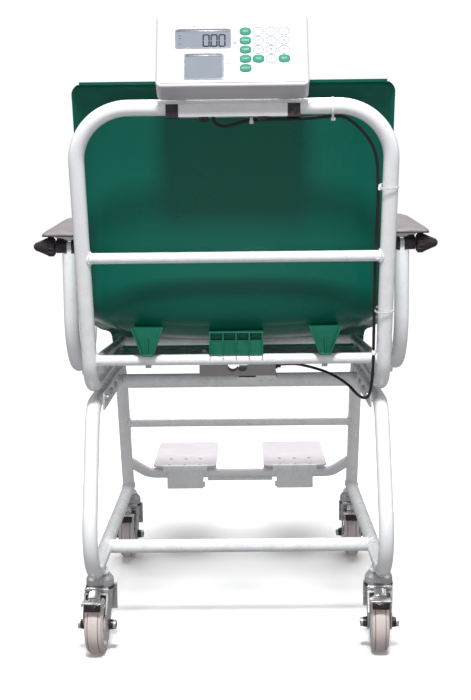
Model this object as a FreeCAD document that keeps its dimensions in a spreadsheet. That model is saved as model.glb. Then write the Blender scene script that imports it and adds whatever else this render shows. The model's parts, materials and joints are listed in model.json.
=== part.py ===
"""Chair scale: a weighing chair on four braked casters, with a folding footrest,
flip-up arms and a tilting indicator. Millimetres, +Z up, +Y towards the front of
the chair, origin on the floor under the middle of the whole object."""
import FreeCAD
import Part
import math
import os
import re

import Sketcher
from FreeCAD import Placement, Rotation, Vector

X_AXIS = Vector(1, 0, 0)
Y_AXIS = Vector(0, 1, 0)
Z_AXIS = Vector(0, 0, 1)
# Turns a sketch drawn as (Y, Z) into the object's YZ plane.
SIDE_VIEW = Rotation(Vector(1, 1, 1), 120)

doc = FreeCAD.newDocument("chair_scale")
sheet = doc.addObject("Spreadsheet::Sheet", "Dimensions")

SIZES = {
    # tubes
    "tube_od": 25, "tube_wall": 2, "bar_od": 18, "bar_wall": 1.5,
    "cell_bar_od": 28, "foot_bar_od": 22, "stop_rod_od": 8,
    "frame_half_width": 245, "weld_depth": 4,
    # base loops, as corner points of the centre line
    "rail_z": 150, "rail_front_y": 275, "base_rear_y": -472, "base_rear_radius": 80,
    "shoulder_y": -347, "base_top_z": 436, "shoulder_radius": 60,
    "knee_y": 138, "front_leg_foot_y": 247,
    "rear_crossbar_y": -208, "front_crossbar_y": 186, "front_crossbar_z": 306,
    "cell_crossbar_y": 25, "cell_crossbar_z": 421,
    # footrest
    "foot_bar_y": 300, "foot_bar_z": 170, "foot_bar_half": 203, "foot_bar_root_y": 218,
    "foot_bar_root_z": 218, "foot_bar_radius": 30,
    "plate_centre_x": 123, "plate_width": 140, "plate_depth": 267.1, "plate_thick": 5,
    "plate_rear_y": 277, "plate_base_z": 184.5, "plate_corner": 14, "plate_inset_corner": 30,
    "knuckle_fit": 0.05, "saddle_x": 121.5, "flap_width": 80, "flap_drop": 31,
    # chair frame
    "push_bar_y": -498, "push_bar_z": 923, "push_bar_radius": 85,
    "seat_rear_y": -361, "seat_rail_z": 468, "seat_rear_radius": 70, "seat_rail_front_y": 80,
    "back_crossbar_z": 690, "seat_bar_rear_y": -373, "seat_bar_rear_z": 517,
    "seat_bar_front_y": 50, "seat_bar_front_z": 498, "seat_bar_half": 233,
    # arm supports
    "arm_post_x": 285, "arm_rear_y": -290, "arm_front_y": -10, "arm_low_z": 487,
    "arm_bend": 100, "arm_post_top": 692, "arm_front_top": 718, "arm_pivot_z": 704,
    "barrel_od": 23, "lug_thick": 7.5, "pivot_bolt_od": 8, "knob_od": 32,
    "pad_width": 68, "pad_centre_x": 298,
    # casters
    "caster_x": 245, "rear_caster_y": -309, "front_caster_y": 266, "caster_trail": 34,
    "wheel_radius": 50, "wheel_width": 30, "wheel_bore": 6.05, "axle_radius": 6,
    "fork_gap": 36, "fork_wall": 3,
    # shell
    "shell_half": 257, "shell_thick": 4.5, "shell_lip": 8, "shell_corner": 15,
    "shell_lip_corner": 25,
    # indicator
    "case_width": 230, "case_height": 128, "case_depth": 38, "case_lean_deg": 29,
    "case_edge_y": -545, "case_edge_z": 950.7, "tilt_y": -484, "tilt_z": 955,
    "bracket_half": 83, "clamp_width": 19,
    # load cell
    "cell_length": 143, "cell_depth": 40, "cell_height": 36, "cell_base_z": 451,
    "cell_y": -100,
    # cable
    "cable_od": 5,
}
for row, (name, value) in enumerate(SIZES.items(), start=1):
    sheet.set("A%d" % row, name)
    sheet.set("B%d" % row, str(value))
    sheet.setAlias("B%d" % row, name)
doc.recompute()

ALIAS = re.compile(r"\b(" + "|".join(sorted(SIZES, key=len, reverse=True)) + r")\b")


def size(name):
    """One driving dimension, read back from the sheet."""
    return float(sheet.get(name))


def bind(item, path, formula):
    """Bind a property or a sketch constraint to a formula of sheet names."""
    item.setExpression(path, ALIAS.sub(r"Dimensions.\1", str(formula)))


def new_body(label):
    body = doc.addObject("PartDesign::Body", label)
    body.Label = label
    return body


def sketch_on(body, role, name):
    """A sketch lying on one of the body's own origin planes."""
    flat = [f for f in body.Origin.OriginFeatures if f.Role == role][0]
    drawn = body.newObject("Sketcher::SketchObject", name)
    drawn.AttachmentSupport = [(flat, "")]
    drawn.MapMode = "FlatFace"
    return drawn


def add_circle(drawn, x, y, radius):
    """A circle whose radius is bound to a formula."""
    start = 1.0
    index = drawn.addGeometry(Part.Circle(Vector(x, y, 0), Z_AXIS, start), False)
    rule = drawn.addConstraint(Sketcher.Constraint("Radius", index, start))
    bind(drawn, "Constraints[%d]" % rule, radius)
    if x == 0 and y == 0:
        drawn.addConstraint(Sketcher.Constraint("Coincident", index, 3, -1, 1))
    else:
        drawn.addConstraint(Sketcher.Constraint("DistanceX", -1, 1, index, 3, x))
        drawn.addConstraint(Sketcher.Constraint("DistanceY", -1, 1, index, 3, y))
    return index


def add_loop(drawn, points):
    """A closed outline of straight sides through the given points."""
    first = None
    count = len(points)
    for i, (x, y) in enumerate(points):
        nx, ny = points[(i + 1) % count]
        index = drawn.addGeometry(Part.LineSegment(Vector(x, y, 0), Vector(nx, ny, 0)), False)
        first = index if first is None else first
    for i in range(count):
        drawn.addConstraint(
            Sketcher.Constraint("Coincident", first + i, 2, first + (i + 1) % count, 1))
    for i in range(count):
        drawn.addConstraint(Sketcher.Constraint("Block", first + i))


def rounded_route(corners, radii):
    """Line and arc pieces along a route whose corners are rounded."""
    points = [Vector(*c) if len(c) == 3 else Vector(c[0], c[1], 0) for c in corners]
    pieces = []
    here = points[0]
    for i in range(1, len(points) - 1):
        back = (points[i - 1] - points[i]).normalize()
        ahead = (points[i + 1] - points[i]).normalize()
        half = back.getAngle(ahead) / 2
        reach = radii[i - 1] / math.tan(half)
        start = points[i] + back * reach
        end = points[i] + ahead * reach
        middle_way = (back + ahead).normalize()
        middle = points[i] + middle_way * (radii[i - 1] / math.sin(half) - radii[i - 1])
        if (start - here).Length > 1e-6:
            pieces.append(Part.LineSegment(here, start))
        pieces.append(Part.Arc(start, middle, end))
        here = end
    pieces.append(Part.LineSegment(here, points[-1]))
    return pieces


def tube(label, corners, radii, outside, wall=None, place=None):
    """A body swept along a rounded route drawn in its own XY plane."""
    body = new_body(label)
    route = sketch_on(body, "XY_Plane", label + "_route")
    pieces = rounded_route(corners, radii)
    for piece in pieces:
        route.addGeometry(piece, False)
    for i in range(len(pieces) - 1):
        route.addConstraint(Sketcher.Constraint("Block", i))
    doc.recompute()
    ring = body.newObject("Sketcher::SketchObject", label + "_ring")
    ring.AttachmentSupport = [(route, "Edge1")]
    ring.MapMode = "NormalToEdge"
    ring.MapPathParameter = 0.0
    add_circle(ring, 0, 0, "%s / 2" % outside)
    if wall:
        add_circle(ring, 0, 0, "%s / 2 - %s" % (outside, wall))
    doc.recompute()
    sweep = body.newObject("PartDesign::AdditivePipe", label + "_sweep")
    sweep.Profile = (ring, [""])
    sweep.Spine = (route, ["Edge%d" % (i + 1) for i in range(len(pieces))])
    doc.recompute()
    if place:
        body.Placement = place
    return body



def straight(label, start, end, outside, wall=None):
    """A straight tube or bar between two points."""
    start = Vector(*start)
    end = Vector(*end)
    turn = Rotation(X_AXIS, end - start)
    return tube(label, [(0, 0), ((end - start).Length, 0)], [], outside, wall,
                Placement(start, turn))


def solid_of(kind, name, place, **formulas):
    """A Part primitive whose sizes are bound to formulas."""
    item = doc.addObject("Part::" + kind, name)
    for path, formula in formulas.items():
        bind(item, path, formula)
    item.Placement = place
    return item


def block(name, low, lengths):
    """A box from its low corner and its three lengths (formulas or numbers)."""
    return solid_of("Box", name, Placement(Vector(*low), Rotation()),
                    Length=lengths[0], Width=lengths[1], Height=lengths[2])


def pin(name, base, direction, radius, length):
    """A cylinder from the centre of its base along a direction."""
    turn = Rotation(Z_AXIS, Vector(*direction))
    return solid_of("Cylinder", name, Placement(Vector(*base), turn),
                    Radius=radius, Height=length)


def joined(label, items):
    item = doc.addObject("Part::MultiFuse", label)
    item.Shapes = items
    item.Label = label
    return item


def grouped(label, items):
    """Separate solids kept together as one named sub-part."""
    item = doc.addObject("Part::Compound", label)
    item.Links = items
    item.Label = label
    return item


def cut(name, base, tool):
    item = doc.addObject("Part::Cut", name)
    item.Base = base
    item.Tool = tool
    return item


def plate(label, outline, thickness, role="XY_Plane", place=None, midplane=False):
    """A body padded from a closed outline on one of its origin planes."""
    body = new_body(label)
    drawn = sketch_on(body, role, label + "_outline")
    add_loop(drawn, outline)
    doc.recompute()
    pad = body.newObject("PartDesign::Pad", label + "_pad")
    pad.Profile = drawn
    pad.Midplane = midplane
    bind(pad, "Length", thickness)
    doc.recompute()
    if place:
        body.Placement = place
    return body


def pocket(body, name, outline, depth, role, midplane=True):
    """Cut a closed outline through a body, both ways from its plane."""
    drawn = sketch_on(body, role, name + "_outline")
    add_loop(drawn, outline)
    doc.recompute()
    cutter = body.newObject("PartDesign::Pocket", name)
    cutter.Profile = drawn
    cutter.Midplane = midplane
    bind(cutter, "Length", depth)
    doc.recompute()
    return cutter


def turned(label, outline, place=None):
    """A body of revolution: outline points are (along the axis, radius), axis +X."""
    body = new_body(label)
    drawn = sketch_on(body, "XY_Plane", label + "_profile")
    add_loop(drawn, outline)
    doc.recompute()
    spin = body.newObject("PartDesign::Revolution", label + "_turned")
    spin.Profile = drawn
    spin.ReferenceAxis = (drawn, ["H_Axis"])
    spin.Angle = 360
    doc.recompute()
    if place:
        body.Placement = place
    return body


def rectangle(x0, y0, x1, y1):
    return [(x0, y0), (x1, y0), (x1, y1), (x0, y1)]


s = size
NODES = []


def side_place(x):
    return Placement(Vector(x, 0, 0), SIDE_VIEW)


# ---------------------------------------------------------------- base frame
half = s("frame_half_width")
reach = half - s("tube_od") / 2 + s("weld_depth")
base_loop = [(s("rail_front_y"), s("rail_z")), (s("base_rear_y"), s("rail_z")),
             (s("shoulder_y"), s("base_top_z")), (s("knee_y"), s("base_top_z")),
             (s("front_leg_foot_y"), s("rail_z") + s("tube_od") / 2 - 2)]
base_radii = [s("base_rear_radius"), s("shoulder_radius"), s("shoulder_radius")]
for name, x in (("left", -half), ("right", half)):
    NODES.append(tube("base_side_" + name, base_loop, base_radii,
                      "tube_od", "tube_wall", side_place(x)))
NODES.append(straight("base_crossbar_rear", (-reach, s("rear_crossbar_y"), s("rail_z")),
                      (reach, s("rear_crossbar_y"), s("rail_z")), "tube_od", "tube_wall"))
NODES.append(straight("base_crossbar_front",
                      (-reach, s("front_crossbar_y"), s("front_crossbar_z")),
                      (reach, s("front_crossbar_y"), s("front_crossbar_z")),
                      "bar_od", "bar_wall"))
INNER_BAR_X = 229.5
INNER_BAR_THICK = 3
INNER_BAR_REAR = -305
INNER_BAR_FRONT = 89
INNER_BAR_LOW = 421
INNER_BAR_HIGH = 451
cell_reach = INNER_BAR_X - 0.5
NODES.append(straight("cell_crossbar", (-cell_reach, s("cell_crossbar_y"), s("cell_crossbar_z")),
                      (cell_reach, s("cell_crossbar_y"), s("cell_crossbar_z")),
                      "cell_bar_od", "tube_wall"))
inner_bars = []
for name, low_x in (("left", -INNER_BAR_X - INNER_BAR_THICK), ("right", INNER_BAR_X)):
    bar = block("inner_bar_raw_" + name, (low_x, INNER_BAR_REAR, INNER_BAR_LOW),
                (INNER_BAR_THICK, INNER_BAR_FRONT - INNER_BAR_REAR,
                 INNER_BAR_HIGH - INNER_BAR_LOW))
    for k, y in enumerate((-270, -195, -120, -45)):
        bar = cut("inner_bar_%s_%d" % (name, k), bar,
                  pin("inner_hole_%s_%d" % (name, k), (low_x - 2, y, 437), (1, 0, 0), 4.5, 8))
    inner_bars.append(bar)
NODES.append(grouped("base_inner_bars", inner_bars))

# footrest bar: drawn with y running from the cross part up to the front legs
drop = s("foot_bar_root_z") - s("foot_bar_z")
run = s("foot_bar_y") - s("foot_bar_root_y")
slant = math.hypot(drop, run)
out = half - s("foot_bar_half")
trim = 11 / math.hypot(out, slant)
root_x = half - out * trim
root_y = slant * (1 - trim)
foot_bow = tube("foot_bow",
                [(-root_x, root_y), (-s("foot_bar_half"), 0), (s("foot_bar_half"), 0),
                 (root_x, root_y)],
                [s("foot_bar_radius")] * 2, "foot_bar_od", "tube_wall",
                Placement(Vector(0, s("foot_bar_y"), s("foot_bar_z")),
                          Rotation(X_AXIS, 180 - math.degrees(math.atan2(drop, run)))))
ROD_BITE = 0.8
stop_z = s("foot_bar_z") - s("foot_bar_od") / 2 - s("stop_rod_od") / 2 + ROD_BITE
stop_rod = straight("stop_rod", (-72, s("foot_bar_y"), stop_z), (72, s("foot_bar_y"), stop_z),
                    "stop_rod_od")
NODES.append(joined("footrest_bar", [foot_bow, stop_rod]))

# end caps of the open tube ends: (x, y, z) of each end face, all facing forwards
caps = []
for x in (-half, half):
    for y, z in ((s("rail_front_y"), s("rail_z")), (s("seat_rail_front_y"), s("seat_rail_z"))):
        tag = "%d_%d" % (x > 0, z > 300)
        caps.append(joined("cap_" + tag, [
            pin("cap_disc_" + tag, (x, y, z), (0, 1, 0), "tube_od / 2", 2.5),
            pin("cap_plug_" + tag, (x, y - 14, z), (0, 1, 0),
                "tube_od / 2 - tube_wall - 0.02", 15)]))
NODES.append(grouped("tube_end_caps", caps))

# casters: x, y of the swivel axis and the resting turn of the fork
CASTERS = [("rear_left", -s("caster_x"), s("rear_caster_y"), -4),
           ("rear_right", s("caster_x"), s("rear_caster_y"), -3),
           ("front_left", -s("caster_x"), s("front_caster_y"), -2),
           ("front_right", s("caster_x"), s("front_caster_y"), -3)]
SOCKET_LOW = 133
SOCKET_TOP = 139.4
STEM_LOW = 103.2
sockets = []
for name, x, y, turn in CASTERS:
    sockets.append(joined("socket_" + name, [
        pin("socket_cup_" + name, (x, y, SOCKET_LOW), (0, 0, 1), 14.5, SOCKET_TOP - SOCKET_LOW),
        pin("socket_flange_" + name, (x, y, SOCKET_LOW), (0, 0, 1), 17, 3),
        pin("socket_stem_" + name, (x, y, STEM_LOW), (0, 0, 1), 5, 32)]))
NODES.append(grouped("caster_sockets", sockets))

# ---------------------------------------------------------------- casters
trail = s("caster_trail")
axle_z = s("wheel_radius")
PEDAL_Y = -33
PEDAL_Z = 111
CAP_LENGTH = 13
PEDAL_BARREL_RADIUS = 3.9
AXLE_LENGTH = 50
PEDAL_WIDTH = 20
PEDAL_LIP_WIDTH = 35
PEDAL_SHOE_WIDTH = 25
SHIELD_WIDTH = 52
fork_half = s("fork_gap") / 2 + s("fork_wall")
fork_outline = [(24, 107), (-38, 107), (-56, 74), (-53, 56), (-45, 42), (-36, 37),
                (-25, 40), (-16, 58), (8, 92), (24, 100)]
hub_profile = [(-17, 6.05), (-17, 13), (-9, 14), (-7, 28), (-13, 31), (-14, 37),
               (14, 37), (13, 31), (7, 28), (9, 14), (17, 13), (17, 6.05)]
tyre_profile = [(-14, 37), (-15, 42), (-13.5, 46), (-9, 48.6), (-3, 49.6), (-1.5, 50),
                (1.5, 50), (3, 49.6), (9, 48.6), (13.5, 46), (15, 42), (14, 37)]
race_profile = [(106, 5.05), (106, 18), (109.5, 18.5), (110.5, 23.5), (116, 24.5), (123, 23.8),
                (129, 20), (132.6, 15), (132.6, 5.05)]
for name, x, y, turn in CASTERS:
    spot = Placement(Vector(x, y, 0), Rotation(Z_AXIS, turn))
    fork = new_body("caster_fork_" + name)
    legs = sketch_on(fork, "YZ_Plane", "fork_side_" + name)
    add_loop(legs, fork_outline)
    doc.recompute()
    pad = fork.newObject("PartDesign::Pad", "fork_pad_" + name)
    pad.Profile = legs
    pad.Midplane = True
    bind(pad, "Length", "fork_gap + 2 * fork_wall")
    doc.recompute()
    pocket(fork, "fork_gap_" + name, rectangle(-70, 20, 40, 104), "fork_gap", "YZ_Plane")
    race = sketch_on(fork, "XZ_Plane", "race_profile_" + name)
    add_loop(race, [(r, z) for z, r in race_profile])
    doc.recompute()
    dome = fork.newObject("PartDesign::Revolution", "race_" + name)
    dome.Profile = race
    dome.ReferenceAxis = (race, ["V_Axis"])
    dome.Angle = 360
    doc.recompute()
    bore = sketch_on(fork, "XY_Plane", "bore_circle_" + name)
    add_circle(bore, 0, 0, 5.05)
    doc.recompute()
    bore_cut = fork.newObject("PartDesign::Pocket", "stem_bore_" + name)
    bore_cut.Profile = bore
    bore_cut.Midplane = True
    bore_cut.Length = 400
    doc.recompute()
    axle = sketch_on(fork, "YZ_Plane", "axle_circle_" + name)
    add_circle(axle, -trail, axle_z, "axle_radius")
    doc.recompute()
    axle_pad = fork.newObject("PartDesign::Pad", "axle_" + name)
    axle_pad.Profile = axle
    axle_pad.Midplane = True
    axle_pad.Length = AXLE_LENGTH
    doc.recompute()
    for sign, tag in ((-1, "l"), (1, "r")):
        nut = sketch_on(fork, "YZ_Plane", "nut_%s_%s" % (tag, name))
        add_circle(nut, -trail, axle_z, 8)
        nut.AttachmentOffset = Placement(Vector(0, 0, sign * (fork_half + CAP_LENGTH / 2 - 1)),
                                         Rotation())
        doc.recompute()
        nut_pad = fork.newObject("PartDesign::Pad", "nut_pad_%s_%s" % (tag, name))
        nut_pad.Profile = nut
        nut_pad.Midplane = True
        nut_pad.Length = CAP_LENGTH
        doc.recompute()
    shield = sketch_on(fork, "YZ_Plane", "shield_side_" + name)
    add_loop(shield, [(20, 106), (20, 66), (21.5, 60), (24, 60), (24, 107), (12, 107), (12, 106)])
    doc.recompute()
    shield_pad = fork.newObject("PartDesign::Pad", "shield_" + name)
    shield_pad.Profile = shield
    shield_pad.Midplane = True
    shield_pad.Length = SHIELD_WIDTH
    doc.recompute()
    ears = sketch_on(fork, "YZ_Plane", "ear_side_" + name)
    add_loop(ears, [(-38, 105), (-38, 113), (-35, 115.5), (-31, 115.5), (-28.5, 113),
                    (-28.5, 105)])
    doc.recompute()
    ear_pad = fork.newObject("PartDesign::Pad", "ears_" + name)
    ear_pad.Profile = ears
    ear_pad.Midplane = True
    ear_pad.Length = 40
    doc.recompute()
    pocket(fork, "ear_gap_" + name, rectangle(-40, 107, -26, 118), 34.4, "YZ_Plane")
    hinge = sketch_on(fork, "YZ_Plane", "pedal_pin_circle_" + name)
    add_circle(hinge, PEDAL_Y, PEDAL_Z, 2.5)
    doc.recompute()
    hinge_pad = fork.newObject("PartDesign::Pad", "pedal_pin_" + name)
    hinge_pad.Profile = hinge
    hinge_pad.Midplane = True
    hinge_pad.Length = 42
    doc.recompute()
    fork.Placement = spot
    NODES.append(fork)

    wheel_spot = spot.multiply(Placement(Vector(0, -trail, axle_z), Rotation()))
    NODES.append(turned("caster_hub_" + name, hub_profile, wheel_spot))
    NODES.append(turned("caster_tyre_" + name, tyre_profile, wheel_spot))

    pedal = new_body("brake_pedal_" + name)
    lever = sketch_on(pedal, "YZ_Plane", "pedal_side_" + name)
    add_loop(lever, [(-35, 114.5), (-50, 108.6), (-62, 102), (-62, 99), (-51, 105), (-38, 110)])
    doc.recompute()
    lever_pad = pedal.newObject("PartDesign::Pad", "pedal_pad_" + name)
    lever_pad.Profile = lever
    lever_pad.Midplane = True
    lever_pad.Length = PEDAL_WIDTH
    doc.recompute()
    lip = sketch_on(pedal, "YZ_Plane", "pedal_lip_side_" + name)
    add_loop(lip, rectangle(-70, 98.6, -60, 101.8))
    doc.recompute()
    lip_pad = pedal.newObject("PartDesign::Pad", "pedal_lip_" + name)
    lip_pad.Profile = lip
    lip_pad.Midplane = True
    lip_pad.Length = PEDAL_LIP_WIDTH
    doc.recompute()
    shoe = sketch_on(pedal, "YZ_Plane", "pedal_shoe_side_" + name)
    add_loop(shoe, [(-69, 99), (-69, 90.2), (-59, 96.6), (-59, 99)])
    doc.recompute()
    shoe_pad = pedal.newObject("PartDesign::Pad", "pedal_shoe_" + name)
    shoe_pad.Profile = shoe
    shoe_pad.Midplane = True
    shoe_pad.Length = PEDAL_SHOE_WIDTH
    doc.recompute()
    barrel = sketch_on(pedal, "YZ_Plane", "pedal_barrel_" + name)
    add_circle(barrel, PEDAL_Y, PEDAL_Z, PEDAL_BARREL_RADIUS)
    doc.recompute()
    barrel_pad = pedal.newObject("PartDesign::Pad", "pedal_barrel_pad_" + name)
    barrel_pad.Profile = barrel
    barrel_pad.Midplane = True
    barrel_pad.Length = 33
    doc.recompute()
    pin_hole = sketch_on(pedal, "YZ_Plane", "pedal_hole_" + name)
    add_circle(pin_hole, PEDAL_Y, PEDAL_Z, 2.55)
    doc.recompute()
    hole = pedal.newObject("PartDesign::Pocket", "pedal_bore_" + name)
    hole.Profile = pin_hole
    hole.Midplane = True
    hole.Length = 60
    doc.recompute()
    pedal.Placement = spot
    NODES.append(pedal)

# ---------------------------------------------------------------- chair frame
lean = math.atan2(s("seat_rear_y") - s("push_bar_y"), s("push_bar_z") - s("seat_rail_z"))
upright = math.hypot(s("seat_rear_y") - s("push_bar_y"), s("push_bar_z") - s("seat_rail_z"))
SPLICE = 60
up_y = -math.sin(lean)
up_z = math.cos(lean)


def upright_y(z):
    """Y of the uprights' centre line at a height."""
    return s("seat_rear_y") - (z - s("seat_rail_z")) * math.tan(lean)


NODES.append(tube("back_frame",
                  [(-half, SPLICE), (-half, upright), (half, upright), (half, SPLICE)],
                  [s("push_bar_radius")] * 2, "tube_od", "tube_wall",
                  Placement(Vector(0, s("seat_rear_y"), s("seat_rail_z")),
                            Rotation(X_AXIS, 90 + math.degrees(lean)))))
rail_route = [(s("seat_rail_front_y"), s("seat_rail_z")), (s("seat_rear_y"), s("seat_rail_z")),
              (s("seat_rear_y") + SPLICE * up_y, s("seat_rail_z") + SPLICE * up_z)]
for name, x in (("left", -half), ("right", half)):
    NODES.append(tube("seat_rail_" + name, rail_route, [s("seat_rear_radius")],
                      "tube_od", "tube_wall", side_place(x)))
for label, y, z in (("back_crossbar", upright_y(s("back_crossbar_z")), s("back_crossbar_z")),
                    ("seat_crossbar_rear", s("seat_bar_rear_y"), s("seat_bar_rear_z"))):
    NODES.append(straight(label, (-reach, y, z), (reach, y, z), "bar_od", "bar_wall"))
bar_half = s("seat_bar_half")
front_reach = bar_half - s("bar_od") / 2 + 3
NODES.append(straight("seat_crossbar_front",
                      (-front_reach, s("seat_bar_front_y"), s("seat_bar_front_z")),
                      (front_reach, s("seat_bar_front_y"), s("seat_bar_front_z")),
                      "bar_od", "bar_wall"))
support = []
SUPPORT_REAR = -362
for name, sign in (("left", -1), ("right", 1)):
    rise = (s("seat_bar_rear_z") - s("seat_bar_front_z")) / (
        s("seat_bar_front_y") - s("seat_bar_rear_y"))
    bar_front_y = s("seat_bar_front_y") + s("bar_od") / 2
    start = Vector(sign * bar_half, SUPPORT_REAR,
                   s("seat_bar_rear_z") - rise * (SUPPORT_REAR - s("seat_bar_rear_y")))
    end = Vector(sign * bar_half, bar_front_y,
                 s("seat_bar_rear_z") - rise * (bar_front_y - s("seat_bar_rear_y")))
    bar = pin("side_bar_" + name, start, end - start, "bar_od / 2", (end - start).Length)
    posts = [pin("post_%s_%d" % (name, y), (sign * 239, y, 479), (0, 0, 1), 6, 22)
             for y in (-260, -110, 30)]
    stubs = [pin("stub_%s_%d" % (name, y), (sign * 249, y, 477), (sign, 0, 0), 9, 31)
             for y in (-200, -80)]
    support.append(joined("side_support_" + name, [bar] + posts))
    support.extend(stubs)
NODES.append(grouped("seat_support_bars", support))

# arm supports: U-shaped tube with a flattened pivot tab on the rear post
for name, sign in (("left", -1), ("right", 1)):
    x = sign * s("arm_post_x")
    bow = tube("arm_bow_" + name,
               [(s("arm_rear_y"), s("arm_post_top")), (s("arm_rear_y"), s("arm_low_z")),
                (s("arm_front_y"), s("arm_low_z")), (s("arm_front_y"), s("arm_front_top"))],
               [s("arm_bend")] * 2, "tube_od", "tube_wall", side_place(x))
    tab_low = s("arm_post_top") - 12
    tab = cut("pivot_tab_" + name, joined("pivot_tab_raw_" + name, [
        block("tab_block_" + name, (x - s("lug_thick") / 2, s("arm_rear_y") - 8, tab_low),
              ("lug_thick", 16, s("arm_pivot_z") - tab_low)),
        pin("tab_round_" + name, (x - s("lug_thick") / 2, s("arm_rear_y"), s("arm_pivot_z")),
            (1, 0, 0), 8.5, "lug_thick"),
        solid_of("Cone", "tab_neck_" + name,
                 Placement(Vector(x, s("arm_rear_y"), s("arm_post_top") - 3), Rotation()),
                 Radius1="tube_od / 2 - 0.5", Radius2=3.7, Height=3.6)]),
        pin("tab_bore_" + name, (x - 30, s("arm_rear_y"), s("arm_pivot_z")), (1, 0, 0),
            "pivot_bolt_od / 2 + 0.05", 60))
    stop = pin("front_stop_" + name, (x, s("arm_front_y"), s("arm_front_top") - 2), (0, 0, 1),
               "tube_od / 2", 9.6)
    NODES.append(joined("arm_support_" + name, [bow, tab, stop]))

# ---------------------------------------------------------------- armrests
PAD_EDGE_RADIUS = 1.8
PAD_PROFILE = [(-316, 720.5), (-318, 722.5), (-317, 725.5), (-313, 727), (-14, 748),
               (-6, 746), (-2, 740), (-4, 733), (-12, 728), (-40, 723.5), (-120, 721.5)]
for name, sign in (("left", -1), ("right", 1)):
    x = sign * s("arm_post_x")
    y = s("arm_rear_y")
    z = s("arm_pivot_z")
    pad_x = sign * s("pad_centre_x")
    pad = plate("armrest_pad_" + name, PAD_PROFILE, "pad_width", "YZ_Plane",
                Placement(Vector(pad_x, 0, 0), Rotation()), midplane=True)
    tip = pad.Group[-1]
    side_edges = ["Edge%d" % (k + 1) for k, edge in enumerate(tip.Shape.Edges)
                  if edge.BoundBox.XLength < 0.1]
    round_over = pad.newObject("PartDesign::Fillet", "pad_fillet_" + name)
    round_over.Base = (tip, side_edges)
    round_over.Radius = PAD_EDGE_RADIUS
    doc.recompute()
    NODES.append(pad)
    tee = plate("tee_" + name, [(-3.7, 9.2), (3.7, 9.2), (13, 14.4), (24, 14.4), (24, 16.4),
                                (-24, 16.4), (-24, 14.4), (-13, 14.4)], 26, "XZ_Plane",
                Placement(Vector(x, y + 13, z), Rotation()), midplane=True)
    strap = block("tee_strap_" + name, (x - 11, y + 20, z + 14.4), (22, 60, 2))
    NODES.append(joined("armrest_bracket_" + name, [tee, strap]))
    barrels = []
    for tag, near, far in (("inner", -3.85, -22), ("outer", 3.85, 22)):
        low = min(sign * near, sign * far) + x
        barrels.append(pin("barrel_%s_%s" % (tag, name), (low, y, z), (1, 0, 0),
                           "barrel_od / 2 - 0.2", abs(far - near)))
        barrels.append(block("barrel_web_%s_%s" % (tag, name), (low, y + 2, z - 2),
                             (abs(far - near), 9, 16.4)))
    barrels.append(pin("pivot_bolt_" + name, (x - 24, y, z), (1, 0, 0), "pivot_bolt_od / 2", 48))
    NODES.append(joined("armrest_barrels_" + name, barrels))
    knob = turned("arm_knob_" + name,
                  [(24.3, 0), (24.3, 13.5), (27, 16), (36, 16), (45, 12), (58, 6.5), (61, 3),
                   (61, 0)],
                  Placement(Vector(x, y, z), Rotation(Z_AXIS, 0 if sign > 0 else 180)))
    NODES.append(knob)

# ---------------------------------------------------------------- footplates
bar_y = s("foot_bar_y")
bar_z = s("foot_bar_z")
for name, sign in (("left", -1), ("right", 1)):
    x = sign * s("plate_centre_x")
    front = s("plate_rear_y") + s("plate_depth")
    body = new_body("footplate_" + name)
    outline = sketch_on(body, "XY_Plane", "footplate_outline_" + name)
    w = s("plate_width") / 2
    add_loop(outline, rectangle(-w, s("plate_rear_y"), w, front))
    doc.recompute()
    pad = body.newObject("PartDesign::Pad", "footplate_pad_" + name)
    pad.Profile = outline
    bind(pad, "Length", "plate_thick")
    doc.recompute()
    plain = []
    inset = []
    for k, edge in enumerate(pad.Shape.Edges):
        if edge.BoundBox.ZLength < 1:
            continue
        foot = edge.BoundBox.Center
        rear_outer = foot.y < s("plate_rear_y") + 1 and foot.x * sign > 0
        (inset if rear_outer else plain).append("Edge%d" % (k + 1))
    wide = body.newObject("PartDesign::Fillet", "footplate_inset_" + name)
    wide.Base = (pad, inset)
    bind(wide, "Radius", "plate_inset_corner")
    doc.recompute()
    plain = ["Edge%d" % (k + 1) for k, edge in enumerate(wide.Shape.Edges)
             if edge.BoundBox.ZLength > 1 and edge.BoundBox.XLength < 0.1
             and abs(edge.BoundBox.Center.x + sign * w) < 0.1
             or edge.BoundBox.ZLength > 1 and edge.BoundBox.XLength < 0.1
             and edge.BoundBox.Center.y > front - 1]
    fillet = body.newObject("PartDesign::Fillet", "footplate_corners_" + name)
    fillet.Base = (wide, plain)
    bind(fillet, "Radius", "plate_corner")
    doc.recompute()
    body.Placement = Placement(Vector(x, 0, s("plate_base_z")), Rotation())
    NODES.append(body)

    saddle = plate("saddle_" + name,
                   [(-23, -s("flap_drop")), (-20, -s("flap_drop")), (-20, -13), (12, -13),
                    (15, -9), (15, 14.45), (-23, 14.45)],
                   "flap_width", "YZ_Plane", None, midplane=True)
    hole = sketch_on(saddle, "YZ_Plane", "saddle_bore_" + name)
    add_circle(hole, 0, 0, "foot_bar_od / 2 + knuckle_fit")
    doc.recompute()
    bore = saddle.newObject("PartDesign::Pocket", "saddle_bore_cut_" + name)
    bore.Profile = hole
    bore.Midplane = True
    bore.Length = 200
    doc.recompute()
    pocket(saddle, "saddle_window_" + name, rectangle(-19.9, -20, 20, 12), 44, "YZ_Plane")
    saddle_x = sign * s("saddle_x")
    saddle.Placement = Placement(Vector(saddle_x, bar_y, bar_z), Rotation())
    bumper = block("bumper_" + name, (saddle_x - sign * 40 - 4, bar_y - 27, bar_z - 27),
                   (8, 4, 12))
    NODES.append(joined("footplate_hinge_" + name, [saddle, bumper]))

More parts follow.
